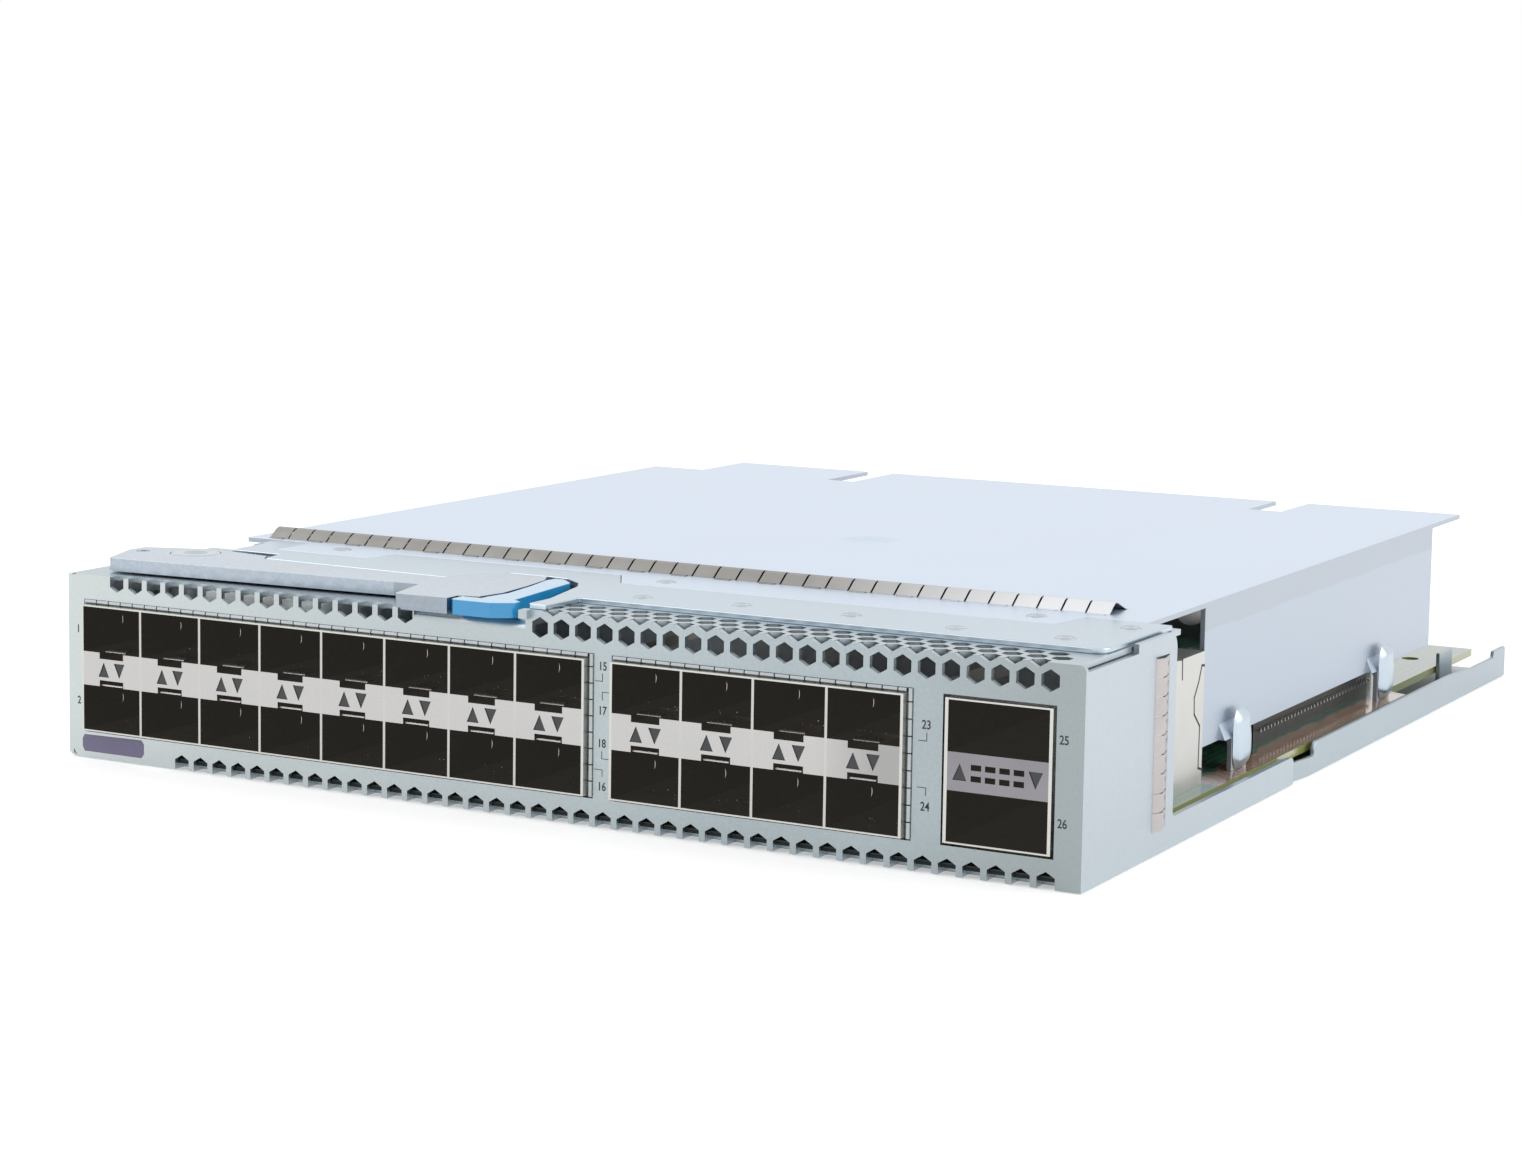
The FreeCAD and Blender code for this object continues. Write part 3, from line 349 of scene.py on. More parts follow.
# %% [markdown]
# ## Finishes
# The sheet parts are zinc-plated steel: pale, bluish and satin, with a fine rolling grain and a
# slow cloudiness from the plating bath. The cages are tin-plated and warmer, the bar is nickel
# bright, and the board is glass fibre under green lacquer. Each finish is one function or one
# short cell, so that its scale and its colours can be read next to each other.

# %% Zinc-plated sheet
def zinc_sheet(name, pale, dull, roughness, grain=(1, 0.06, 1), upright=0.0, painted_shade_zone=None,
               drift=None, spangle=0.35):
    """Satin zinc with a rolling grain; upright faces and the painted shade zone get painted shade.
    """
    finish = Finish(name)
    cloud = finish.noise(28, 3)
    lines = finish.noise(2600, 2, grain)
    speck = finish.noise(1500, 4)
    mask = (cloud - 0.5) * 0.9 + (lines - 0.5) * 0.5 + (speck - 0.5) * spangle + 0.5
    colour = finish.blend(mask, rgb(*dull), rgb(*pale))
    if drift:
        colour = drift(finish, colour, mask)
    # painted shade: upright faces are darkened, as if the light fell mostly on top faces
    if upright:
        colour = finish.blend((1 - finish.slope()) * upright, colour, rgb(0.12, 0.13, 0.14))
    # painted shade: inside the zone the colour turns near black, as if little light got in
    if painted_shade_zone:
        colour = finish.blend(painted_shade_zone(finish), colour, rgb(0.045, 0.055, 0.055))
    finish.feed(base_color=colour, metallic=1.0,
                roughness=(cloud - 0.5) * 0.12 + (lines - 0.5) * 0.1 + roughness,
                normal=finish.bump(lines, 0.00002, 0.3))
    return finish.material


WALL_BAND_LOW = 33.6        # height of the duller band under the cover's fold, mm


def wall_band(finish, colour, mask):
    """The cover's walls have a slightly duller, pinker band just under the fold."""
    ragged = finish.axis("Z") + (finish.noise(90, 3, (1, 1, 0.1)) - 0.5) * 1.2 * MM
    band = (ragged > WALL_BAND_LOW * MM) * (finish.slope() < 0.4)
    return finish.blend(band * 0.35, colour, rgb(0.56, 0.58, 0.62))


def face_painted_light(finish, colour, mask):
    """The front panel gets a painted light gradient, bright at its left end and dark at its right.
    """
    along = finish.node("MapRange", inputs={0: finish.axis("X"), 1: LEFT_FACE * MM, 2: 0.045})
    corner = finish.node("MapRange", inputs={0: finish.axis("X"), 1: 0.07, 2: 0.1})
    bright = finish.blend(mask, rgb(0.51, 0.555, 0.555), rgb(0.59, 0.635, 0.635))
    dull = finish.blend(mask, rgb(0.345, 0.40, 0.42), rgb(0.45, 0.515, 0.545))
    # painted shade darkens the face's right corner
    dull = finish.blend(corner * 0.45, dull, rgb(0.25, 0.27, 0.265))
    front = finish.blend(along, bright, dull)
    return finish.blend(finish.slope("Y") > 0.6, colour, front)


def behind_the_face(finish):
    """1 inside the tray just behind the face, where it gets painted shade."""
    depth = finish.axis("Y") - (face_y + 1.1 * MM)
    return (depth > 0) * (depth < 44 * MM) * (finish.axis("Z") > 0.95 * MM)


face_zinc = zinc_sheet("zinc_on_the_face", (0.54, 0.60, 0.64), (0.47, 0.53, 0.57), 0.34,
                       drift=face_painted_light, spangle=0.8)
cover_zinc = zinc_sheet("zinc_on_the_cover", (0.69, 0.77, 0.87), (0.64, 0.72, 0.83), 0.42,
                        (0.06, 1, 1), upright=0.30, drift=wall_band)
plate_zinc = zinc_sheet("zinc_on_the_lever_plate", (0.60, 0.69, 0.76), (0.52, 0.60, 0.67), 0.34)
# the tray gets painted shade just behind the face
tray_zinc = zinc_sheet("zinc_on_the_tray", (0.50, 0.56, 0.60), (0.42, 0.48, 0.52), 0.4,
                       painted_shade_zone=behind_the_face)

HANDLE_LONG = 27            # length of the handle at the lever's right end, mm


def handle_shade(finish, colour, mask):
    """The broad front of the handle is darker than the bar's rolled edge."""
    handle = finish.axis("X") > (edges_of("ejector_lever")[1][0] - HANDLE_LONG) * MM
    front = handle * (finish.slope() < 0.6)
    return finish.blend(front * 0.28, colour, rgb(0.1, 0.1, 0.11))


bar_steel = zinc_sheet("nickel_on_the_lever", (0.53, 0.60, 0.68), (0.44, 0.51, 0.58), 0.25,
                       upright=0.2, spangle=2.2, drift=handle_shade)
print("zinc finishes made")

# %% Tin-plated cages, with painted shade inside
def tin_cage(name, pale, dull, mouth=-1.35, room=None, dark=True, along=None):
    """Tin plate; past its mouth, or inside its room, it gets painted shade and a faint painted
    glow.
    """
    finish = Finish(name)
    cloud = finish.noise(160, 3)
    colour = finish.blend(cloud, rgb(*dull), rgb(*pale))
    if along:
        colour = along(finish, colour)
    if dark:
        depth = finish.axis("Y") - face_y
        behind = finish.node("MapRange", inputs={0: depth, 1: mouth * MM, 2: (mouth + 0.25) * MM})
        if room:
            low, high = edges_of(room)
            x, z = finish.axis("X"), finish.axis("Z")
            behind = (behind * (x > (low[0] + 0.25) * MM) * (x < (high[0] - 0.25) * MM)
                      * (z > (low[2] + 0.15) * MM) * (z < (high[2] - 0.15) * MM))
        # painted shade inside the cage: dark brown streaks where the shade falls
        streaks = finish.noise(500, 4, (0.3, 1, 2.5))
        painted_cage_shade = finish.blend((streaks - 0.35) * 2.2, rgb(0.030, 0.025, 0.020),
                             rgb(0.125, 0.105, 0.088))
        colour = finish.blend(behind, colour, painted_cage_shade)
        # painted glow: the painted shade also glows faintly, though it is no lamp
        finish.feed(emission_color=finish.blend(behind, rgb(0, 0, 0), rgb(0.018, 0.0165, 0.014)),
                    emission_strength=1.0)
    finish.feed(base_color=colour, metallic=1.0, roughness=(cloud - 0.5) * 0.2 + 0.34)
    return finish.material


def tent_painted_reflection(finish, colour):
    """The tents keep their darker tone at the left and get a painted bright reflection at the right
    end.
    """
    bright = finish.node("MapRange", inputs={0: finish.axis("X"), 1: 0.03, 2: 0.08})
    return finish.blend(bright, colour, rgb(0.82, 0.83, 0.85))


def band_shade(finish, colour):
    """The middle bands get painted shade towards the right end of the card."""
    end = finish.node("MapRange", inputs={0: finish.axis("X"), 1: 0.058, 2: 0.07})
    return finish.blend(end * 0.45, colour, rgb(0.18, 0.18, 0.18))


CREAM, CREAM_DULL = (0.66, 0.66, 0.63), (0.56, 0.56, 0.53)
divider_tin = tin_cage("tin_on_the_dividers", (0.60, 0.59, 0.57), (0.50, 0.49, 0.47))
cage_looks = {name: tin_cage("tin_of_" + name, CREAM, CREAM_DULL, mouth, name)
              for name, mouth in (("sfp_cage_left", -1.35), ("sfp_cage_right", -1.35),
                                  ("qsfp_cage", -0.15))}
band_tin = tin_cage("tin_on_the_bands", (0.56, 0.55, 0.54), (0.50, 0.50, 0.49), along=band_shade)
wide_band_tin = tin_cage("tin_on_the_wide_band", (0.31, 0.30, 0.32), (0.23, 0.22, 0.24), -0.2)
gasket_tin = tin_cage("tin_on_the_gaskets", (0.50, 0.53, 0.54), (0.40, 0.43, 0.44), dark=False)
finger_tin = tin_cage("tin_on_the_spring_fingers", (0.60, 0.57, 0.56), (0.40, 0.37, 0.37),
                      dark=False)
tent_tin = tin_cage("tin_on_the_tents", (0.40, 0.39, 0.37), (0.30, 0.29, 0.27), dark=False,
                    along=tent_painted_reflection)
print("cage finishes made")


# %% Plastics, board, heat sinks and castings
def moulded(name, colour, roughness, mottling=0.15):
    finish = Finish(name)
    cloud = finish.noise(300, 4)
    darker = tuple(c * (1 - mottling) for c in colour)
    finish.feed(base_color=finish.blend(cloud, rgb(*darker), rgb(*colour)),
                roughness=(cloud - 0.5) * 0.15 + roughness,
                normal=finish.bump(finish.noise(4000, 2), 0.00001, 0.2))
    return finish.material


def latch_plastic():
    """Glossy blue plastic, with a painted sheen on its upper side."""
    finish = Finish("blue_latch_plastic")
    cloud = finish.noise(300, 4)
    colour = finish.blend(cloud, rgb(0.025, 0.31, 0.63), rgb(0.03, 0.36, 0.74))
    # painted sheen: faces turned upward are painted pale blue
    colour = finish.blend((finish.facing() > 0.6) * 0.8, colour, rgb(0.24, 0.54, 0.80))
    finish.feed(base_color=colour,
                roughness=(cloud - 0.5) * 0.15 + 0.2,
                normal=finish.bump(finish.noise(4000, 2), 0.00001, 0.2))
    finish.shader.inputs["Coat Weight"].default_value = 0.7
    finish.shader.inputs["Coat Roughness"].default_value = 0.08
    return finish.material


latch_blue = latch_plastic()
black_plastic = moulded("black_connector_plastic", (0.035, 0.032, 0.028), 0.45)
smoke_plastic = moulded("smoky_light_pipe", (0.045, 0.05, 0.055), 0.2)
sink_alu = zinc_sheet("aluminium_of_the_heat_sinks", (0.62, 0.63, 0.64), (0.5, 0.51, 0.52), 0.4)
guide_cast = zinc_sheet("cast_zinc_of_the_guides", (0.42, 0.42, 0.43), (0.32, 0.32, 0.33), 0.5)


COPPER_WIDE, COPPER_FRONT, COPPER_REAR = 6.0, 70, 182      # bare margin of the board, mm


def board_lacquer():
    """Green lacquer over copper traces, a bare copper margin and a yellow-green cut edge."""
    finish = Finish("green_board_lacquer")
    x, y = finish.axis("X"), finish.axis("Y")
    cells = finish.node("TexVoronoi", {"distance": "CHEBYCHEV"},
                        {"Vector": finish.place(), "Scale": 420})
    traces = finish.node("TexWave", inputs={"Vector": finish.place(), "Scale": 170,
                                            "Distortion": 3.0, "Detail": 1.0})
    mask = (traces > 0.72) * 0.6 + (cells < 0.25) * 0.3
    colour = finish.blend(mask, rgb(0.03, 0.13, 0.075), rgb(0.10, 0.25, 0.17))
    high = edges_of("circuit_board")[1]
    waver = (finish.noise(120, 3) - 0.5) * 5 * MM
    margin = (((x + waver) > (high[0] - COPPER_WIDE) * MM) * (y > face_y + COPPER_FRONT * MM)
              * (y < face_y + COPPER_REAR * MM))
    copper = finish.blend(finish.noise(600, 3), rgb(0.30, 0.16, 0.10), rgb(0.58, 0.40, 0.30))
    colour = finish.blend(margin * 0.9, colour, copper)
    colour = finish.blend(finish.facing() > 0.5, rgb(0.36, 0.38, 0.12), colour)
    finish.feed(base_color=colour, roughness=0.12, normal=finish.bump(mask, 0.00003, 0.25))
    finish.shader.inputs["Coat Weight"].default_value = 0.6
    finish.shader.inputs["Coat Roughness"].default_value = 0.1
    return finish.material


board_green = board_lacquer()
print("plastics and board made")

# %% [markdown]
# ## Rounded edges
# A press brake never leaves a razor edge: folds have a radius and punched edges are slightly
# rolled, and those narrow bands are what catches the light. Each sheet part is copied, its flat
# faces are joined again, and a bevel rounds its edges, wider on the folds of the face.

# %% A softened copy of a solid
def soften(node_name, piece_name, finish, width=0.22, body="chassis", fold=None,
           fold_share=1.0, segments=2):
    """Copy a node with bevelled edges; fold(edge) marks the edges that take the full width."""
    bm = bmesh.new()
    bm.from_mesh(nodes[node_name].data)
    bmesh.ops.remove_doubles(bm, verts=bm.verts, dist=1e-6)
    bmesh.ops.dissolve_limit(bm, angle_limit=math.radians(1.5), verts=bm.verts, edges=bm.edges)
    weight = bm.edges.layers.float.new("bevel_weight_edge")
    for edge in bm.edges:
        if len(edge.link_faces) == 2 and edge.calc_face_angle(0) > math.radians(25):
            edge[weight] = 1.0 if fold is None or fold(edge) else fold_share
    rough = piece_from(piece_name + "_rough", bm, body)
    bevel = rough.modifiers.new("rolled_edges", "BEVEL")
    bevel.limit_method, bevel.width, bevel.segments = "WEIGHT", width * MM, segments
    bevel.harden_normals = True
    mesh = bpy.data.meshes.new_from_object(
        rough.evaluated_get(bpy.context.evaluated_depsgraph_get()))
    mesh.name = piece_name
    rough.modifiers.clear()
    rough.data = mesh
    rough.name = piece_name
    mesh.materials.clear()
    mesh.materials.append(finish)
    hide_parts(node_name)
    print("%s: %d faces" % (piece_name, len(mesh.polygons)))


FACE_FOLD_LOW = 35.5        # level edges above this are the fold over the face's top, mm


def face_fold(edge):
    """The fold over the top of the face, and its two upright corners."""
    a, b = (v.co for v in edge.verts)
    front = max(abs(a.y - face_y), abs(b.y - face_y)) < 0.05 * MM
    level = abs(a.z - b.z) < 0.01 * MM
    return front and level and min(a.z, b.z) > FACE_FOLD_LOW * MM or (
        front and not level and abs(abs(a.x) - RIGHT_FACE * MM) < 0.05 * MM)


soften("face_plate", "folded_face", face_zinc, 0.7, fold=face_fold,
       fold_share=0.25, segments=3)
soften("lever_plate", "rolled_lever_plate", plate_zinc)
soften("top_cover", "rolled_cover", cover_zinc, 0.3)
soften("base_tray", "rolled_tray", tray_zinc, 0.25)
soften("ejector_lever", "rolled_lever", bar_steel, 0.3, "lever")
soften("latch", "rounded_latch", latch_blue, 0.45, "latch", segments=3)

# %% [markdown]
# ## Gaskets round the port blocks
# A gasket is a strip of sprung fingers between cage and panel, cut from tinned sheet 0.1 mm
# thick. From the front it is a pale line with a short dark slit every 3 mm. Each finger here is
# its own curved strip, so that the slits are real gaps that stay dark.

# %% Fingers on top and on both sides of a block
FINGER = 2.95
SLIT = 0.22


def gasket(name, node_name):
    low, high = edges_of(node_name)
    bm = bmesh.new()
    cage_top, cage_right = high[2] - 0.85, high[0] - 1.15
    bow = [(0.0, 0.55), (0.15, 0.0), (0.5, -0.25), (0.85, -0.2), (1.0, 0.5)]
    on_top = [(cage_top + share * 0.8, depth) for share, depth in bow]
    at_right = [(cage_right + share * 1.1, depth) for share, depth in bow]
    x = low[0] + 0.4
    while x < cage_right - 0.5:
        add_strip(bm, on_top, lambda a, b, c: at(c, b, a), x, min(x + FINGER - SLIT, cage_right))
        x += FINGER
    z = low[2] + 0.3
    while z < high[2] - 0.5:
        add_strip(bm, at_right, lambda a, b, c: at(a, b, c), z, min(z + FINGER - SLIT, high[2]))
        z += FINGER
    seat = [(0.0, 0.9), (0.5, 0.75), (1.0, 0.9)]
    add_strip(bm, [(cage_right + a * 1.1, b) for a, b in seat], lambda a, b, c: at(a, b, c),
              low[2], high[2])
    add_strip(bm, [(cage_top + a * 0.8, b) for a, b in seat], lambda a, b, c: at(c, b, a),
              low[0], high[0])
    add_strip(bm, [(low[0], 0.3), (low[0] + 0.2, 0.0), (low[0] + 0.38, 0.3)],
              lambda a, b, c: at(a, b, c), low[2], high[2])
    piece = piece_from(name, bm, stands_for=(node_name,), corner=40)
    piece.data.materials.append(gasket_tin)
    return piece


gaskets = [gasket("gasket_fingers_left", "port_gasket_left"),
           gasket("gasket_fingers_right", "port_gasket_right")]
print("gasket strips:", [len(g.data.polygons) for g in gaskets])

# %% [markdown]
# ## Spring strips on the cover and in the side flanges
# The long strip across the cover is a row of 39 tent-shaped fingers that touch the chassis roof.
# A tent has a soft crest and a flat foot, and its slits stop short of the foot.

# %% Tent fingers across the cover
TENT = [(47.3, 0.05), (48.4, 0.85), (49.5, 1.65), (50.4, 1.95), (51.3, 1.78), (53.0, 1.1),
        (54.8, 0.38), (55.8, 0.16), (56.6, 0.15)]
FOOT = [(56.6, 0.15), (57.6, 0.15), (58.3, 0.15)]
TENT_PITCH = 4.76


def cover_fingers():
    low, high = edges_of("cover_emi_strip")
    count = round((high[0] - low[0]) / TENT_PITCH)
    bm = bmesh.new()
    for i in range(1, count):
        x = low[0] + (i - 0.3) * TENT_PITCH
        add_strip(bm, TENT, lambda a, b, c: at(c, a, TOP_Z + b), x + 0.02, x + TENT_PITCH - 0.38)
        foot = x - TENT_PITCH * 0.35
        add_strip(bm, FOOT, lambda a, b, c: at(c, a, TOP_Z + b), foot + 0.04,
                  foot + TENT_PITCH - 0.1)
        if i % 2:
            add_strip(bm, [(46.2, 0.16), (46.7, 0.2), (47.2, 0.16)],
                      lambda a, b, c: at(c, a, TOP_Z + b), x + 0.6, x + TENT_PITCH - 1.0)
    piece = piece_from("tent_fingers_on_cover", bm,
                       stands_for=("cover_emi_strip",), corner=40)
    piece.data.materials.append(tent_tin)
    return piece


SIDE_COUNT = 9


def side_fingers(name, node_name):
    low, high = edges_of(node_name)
    side = 1 if low[0] > 0 else -1
    bulge = [(31.35, -0.05), (31.8, 0.35), (32.6, 0.72), (33.6, 0.85), (34.8, 0.62), (36.2, 0.24),
             (37.1, 0.08)]
    bm = bmesh.new()
    pitch = (high[2] - low[2]) / SIDE_COUNT
    for i in range(SIDE_COUNT):
        z = low[2] + i * pitch
        add_strip(bm, bulge, lambda a, b, c: at(side * (RIGHT_FACE + b), a, c), z + 0.05,
                  z + pitch - 0.12)
        add_strip(bm, [(36.3, 0.32), (36.9, 0.26), (37.1, 0.2)],
                  lambda a, b, c: at(side * (RIGHT_FACE + b), a, c), z + pitch * 0.45,
                  z + pitch * 0.62, 0.1)
    piece = piece_from(name, bm, stands_for=(node_name,), corner=40)
    piece.data.materials.append(finger_tin)
    return piece


strips = [cover_fingers(), side_fingers("side_fingers_right", "side_emi_strip_right"),
          side_fingers("side_fingers_left", "side_emi_strip_left")]
print("spring strips:", [len(p.data.polygons) for p in strips])

# %% [markdown]
# ## What shows in a port
# Each small cage has a tab above and a lip below the slots of its middle block, a sprung crescent
# that grips the plug's shell, and the specks of its contacts far down on the floor. They are tiny,
# but together they tell the eye that a port is a deep, furnished hole.

# %% Tabs, lips, crescents and specks in every small port
PORT_W, PITCH = 13.75, 14.25
FLOOR_LOW = edges_of("sfp_cage_left")[0][2] + 0.3
BAND_LOW, BAND_HIGH = edges_of("bands_left")[0][2], edges_of("bands_left")[1][2]
CEILING = edges_of("sfp_cage_left")[1][2] - 0.3
port_lefts = [edges_of("bands_left")[0][0] + PITCH * i for i in range(8)]
port_lefts += [edges_of("bands_right")[0][0] + PITCH * i for i in range(4)]


SPECKS = 9                  # glinting contacts on the floor of each port


def port_furniture():
    bm = bmesh.new()
    chance = random.Random(7)
    for left in port_lefts:
        middle = left + PORT_W / 2 - 0.3
        add_strip(bm, [(BAND_HIGH - 0.1, -0.2), (BAND_HIGH + 0.12, 0.0), (BAND_HIGH + 0.2, 0.5),
                       (BAND_HIGH + 0.1, 1.6)], lambda a, b, c: at(c, b, a),
                  middle - 2.2, middle + 2.8)
        add_strip(bm, [(BAND_LOW + 0.34, -1.0), (BAND_LOW + 0.1, -1.2), (BAND_LOW + 0.02, -0.4)],
                  lambda a, b, c: at(c, b, a), middle - 2.4, middle + 2.7)
        for floor, roof in ((FLOOR_LOW, BAND_LOW), (BAND_HIGH, CEILING)):
            x = left + PORT_W * 0.5
            crescent = [(x + 0.25, roof - 1.5), (x + 0.42, roof - 2.1), (x + 0.4, roof - 2.7),
                        (x + 0.2, roof - 3.3), (x + 0.3, roof - 2.6), (x + 0.3, roof - 2.1)]
            add_plate(bm, crescent, lambda a, b, c: at(a, c, b), 1.6, 1.8)
            for _ in range(SPECKS):
                spot = left + 2.0 + 10.5 * chance.random()
                level = floor + 0.25 + 1.1 * chance.random() ** 2
                size = 0.06 + 0.12 * chance.random()
                add_plate(bm, [(spot, level), (spot + size, level), (spot + size, level + size),
                               (spot, level + size * 1.2)], lambda a, b, c: at(a, c, b), 6.0, 6.2)
    piece = piece_from("port_springs_and_contacts", bm, corner=40)
    piece.data.materials.append(finger_tin)
    return piece


furniture = port_furniture()
print("port furniture:", len(furniture.data.polygons), "faces")

# %% [markdown]
# ## Printed marks
# The face carries plain port numbers with small corner ticks, printed in dark grey. They are thin
# raised plates, 0.02 mm thick, made from Blender's own font, and the label field beside the first
# vents stays bare.

# %% Port numbers, ticks and the bare label
NUMBERS = {"1": (-104.6, 25.2), "2": (-104.5, 11.1), "15": (14.9, 29.1), "17": (14.9, 21.1),
           "18": (14.8, 15.2), "16": (14.9, 7.4), "23": (78.4, 25.2), "24": (78.4, 11.2),
           "25": (103.4, 25.2), "26": (103.4, 11.2)}
TICKS = [[(14.85, 27.8), (14.85, 26.45), (13.4, 26.45)],
         [(16.2, 24.5), (14.85, 24.5), (14.85, 23.1)],
         [(14.85, 13.8), (14.85, 12.5), (16.2, 12.5)], [(13.4, 10.5), (14.95, 10.5), (14.95, 9.3)],
         [(78.5, 23.9), (78.5, 22.5), (77.0, 22.5)], [(76.9, 14.5), (78.5, 14.5), (78.5, 13.2)]]
DIGIT_HIGH, DIGIT_NARROW, STROKE_MORE = 2.15, 0.82, 0.03
TICK_HALF = 0.06
INK_Y = -0.02

ink = moulded("dark_grey_print", (0.03, 0.035, 0.04), 0.6)
label_film = moulded("bare_label_film", (0.20, 0.18, 0.30), 0.35, 0.2)


def printed_marks():
    bm = bmesh.new()
    for text, (x, z) in NUMBERS.items():
        curve = bpy.data.curves.new("digit", "FONT")
        curve.body, curve.size, curve.extrude = text, DIGIT_HIGH * MM, 0.01 * MM
        curve.offset = STROKE_MORE * MM
        curve.align_x = curve.align_y = "CENTER"
        digits = bpy.data.objects.new("digit", curve)
        mesh = bpy.data.meshes.new_from_object(digits)
        stand = Matrix.Translation(at(x, INK_Y, z)) @ Matrix.Rotation(math.pi / 2, 4, "X")
        mesh.transform(stand @ Matrix.Scale(DIGIT_NARROW, 4, (1, 0, 0)))
        bm.from_mesh(mesh)
        bpy.data.objects.remove(digits)
    for tick in TICKS:
        for (x0, z0), (x1, z1) in zip(tick, tick[1:]):
            x0, x1, z0, z1 = min(x0, x1), max(x0, x1), min(z0, z1), max(z0, z1)
            add_plate(bm, [(x0 - TICK_HALF, z0 - TICK_HALF), (x1 + TICK_HALF, z0 - TICK_HALF),
                           (x1 + TICK_HALF, z1 + TICK_HALF), (x0 - TICK_HALF, z1 + TICK_HALF)],
                      lambda a, b, c: at(a, c, b), -0.03, -0.01)
    piece = piece_from("port_numbers", bm)
    piece.data.materials.append(ink)
    return piece


def bare_label():
    bm = bmesh.new()
    outline = [(-103.7, 2.1), (-103.2, 1.2), (-89.2, 1.2), (-88.6, 2.0), (-88.6, 3.9),
               (-89.2, 4.7), (-103.2, 4.5), (-103.7, 3.7)]
    add_plate(bm, outline, lambda a, b, c: at(a, c, b), -0.06, -0.01)
    piece = piece_from("bare_label", bm)
    piece.data.materials.append(label_film)


marks = printed_marks()
bare_label()
print("printed marks:", len(marks.data.polygons), "faces")

# %% [markdown]
# ## Rivets, pivot and shoulder
# The rivets are flush: a thin ring where the head meets the sheet and a small dimple from the
# setting tool. The lever turns on a broad rivet with the same marks. Behind its short end the sheet
# rises in a soft shoulder to the level of the cover. It starts behind the arc that this end sweeps
# when the lever swings out. All are profiles, turned or swept.

# %% Turned rivet heads and the shoulder
def add_turned(bm, centre_x, centre_y, base_z, profile, sides=24):
    """Turn a (radius, height) profile round an upright axis."""
    rings = []
    for radius, height in profile:
        if radius < 1e-6:
            rings.append([bm.verts.new(at(centre_x, centre_y, base_z + height))])
            continue
        rings.append([bm.verts.new(at(centre_x + radius * math.cos(2 * math.pi * k / sides),
                                      centre_y + radius * math.sin(2 * math.pi * k / sides),
                                      base_z + height)) for k in range(sides)])
    for lower, upper in zip(rings, rings[1:]):
        for k in range(sides):
            n = (k + 1) % sides
            if len(lower) == 1:
                bm.faces.new((lower[0], upper[k], upper[n]))
            elif len(upper) == 1:
                bm.faces.new((lower[k], lower[n], upper[0]))
            else:
                bm.faces.new((lower[k], lower[n], upper[n], upper[k]))


HEAD = [(1.9, -0.05), (1.88, 0.1), (1.75, 0.16), (1.6, 0.1), (1.45, 0.03), (1.25, 0.12),
        (0.7, 0.14), (0.5, 0.05), (0.25, -0.03), (0.0, -0.05)]


def centres_of(node_name):
    """Middle of each separate solid of a node, in millimetres, in the same order each run."""
    bm = bmesh.new()
    bm.from_mesh(nodes[node_name].data)
    bmesh.ops.remove_doubles(bm, verts=bm.verts, dist=1e-6)
    seen, found = set(), []
    for first in bm.verts:
        if first in seen:
            continue
        seen.add(first)
        group = [first]
        for vert in group:          # the list grows while it is walked
            for edge in vert.link_edges:
                other = edge.other_vert(vert)
                if other not in seen:
                    seen.add(other)
                    group.append(other)
        middle = sum((v.co for v in group), Vector()) / len(group)
        found.append((middle.x / MM, (middle.y - face_y) / MM))
    bm.free()
    return found


def turned_rivets(name, node_name):
    bm = bmesh.new()
    for x, y in centres_of(node_name):
        add_turned(bm, x, y, TOP_Z, HEAD)
    piece = piece_from(name, bm, stands_for=(node_name,), corner=50)
    piece.data.materials.append(rivet_steel)
    return piece


PIVOT = [(0.0, -0.5), (1.6, -0.42), (2.25, -0.15), (2.45, 0.05), (2.8, 0.1), (4.3, 0.1),
         (4.75, 0.03), (4.9, -0.1), (4.9, -0.55), (3.0, -0.58), (3.0, -2.6), (5.0, -2.65),
         (5.0, -3.0), (0.0, -3.0)]


def turned_pivot():
    low, high = edges_of("lever_pivot")
    bm = bmesh.new()
    add_turned(bm, (low[0] + high[0]) / 2, (low[1] + high[1]) / 2, TOP_Z, PIVOT, 40)
    piece = piece_from("turned_pivot", bm, stands_for=("lever_pivot",), corner=40)
    piece.data.materials.append(rivet_steel)
    return piece


SHOULDER_FRONT, SHOULDER_REAR = 39.0, 45.0      # clear of the lever's swing, mm


def shoulder():
    start = edges_of("lever_plate")[0][0]
    bm = bmesh.new()
    rise = [(-4.7, -2.9), (-4.3, -1.9), (-3.5, -1.0), (-2.4, -0.3), (-1.0, -0.02), (0, -0.02)]
    add_strip(bm, [(start + across, TOP_Z + height) for across, height in rise],
              lambda a, b, c: at(a, c, b), SHOULDER_FRONT, SHOULDER_REAR, 0.8)
    piece = piece_from("pressed_shoulder", bm, corner=40)
    piece.data.materials.append(plate_zinc)
    return piece


rivet_steel = zinc_sheet("plated_rivets", (0.62, 0.68, 0.72), (0.44, 0.49, 0.53), 0.22)
turned = [turned_rivets("turned_plate_rivets", "plate_rivets"),
          turned_rivets("turned_cover_rivets", "cover_rivets"), turned_pivot(), shoulder()]
print("turned pieces:", [len(p.data.polygons) for p in turned])

# %% [markdown]
# ## Behind the lower vents and along the board
# Looking into the lower vents, the eye meets a black strip of painted shade behind the tray's
# lip. Along the card's right side the cover leaves a gap, through which the board shows: a header
# with two rows of pins, a cage wall with its lancing slits, and the hook tabs of the cover, which
# are pressed outward into smooth blisters.

# %% Shade strip, pins, slits and blisters
# painted shade: a black strip put behind the lower vents
shade_strip_black = moulded("black_painted_shade", (0.012, 0.016, 0.015), 0.8)
pin_tin = zinc_sheet("tinned_pins", (0.72, 0.72, 0.70), (0.6, 0.6, 0.58), 0.3)


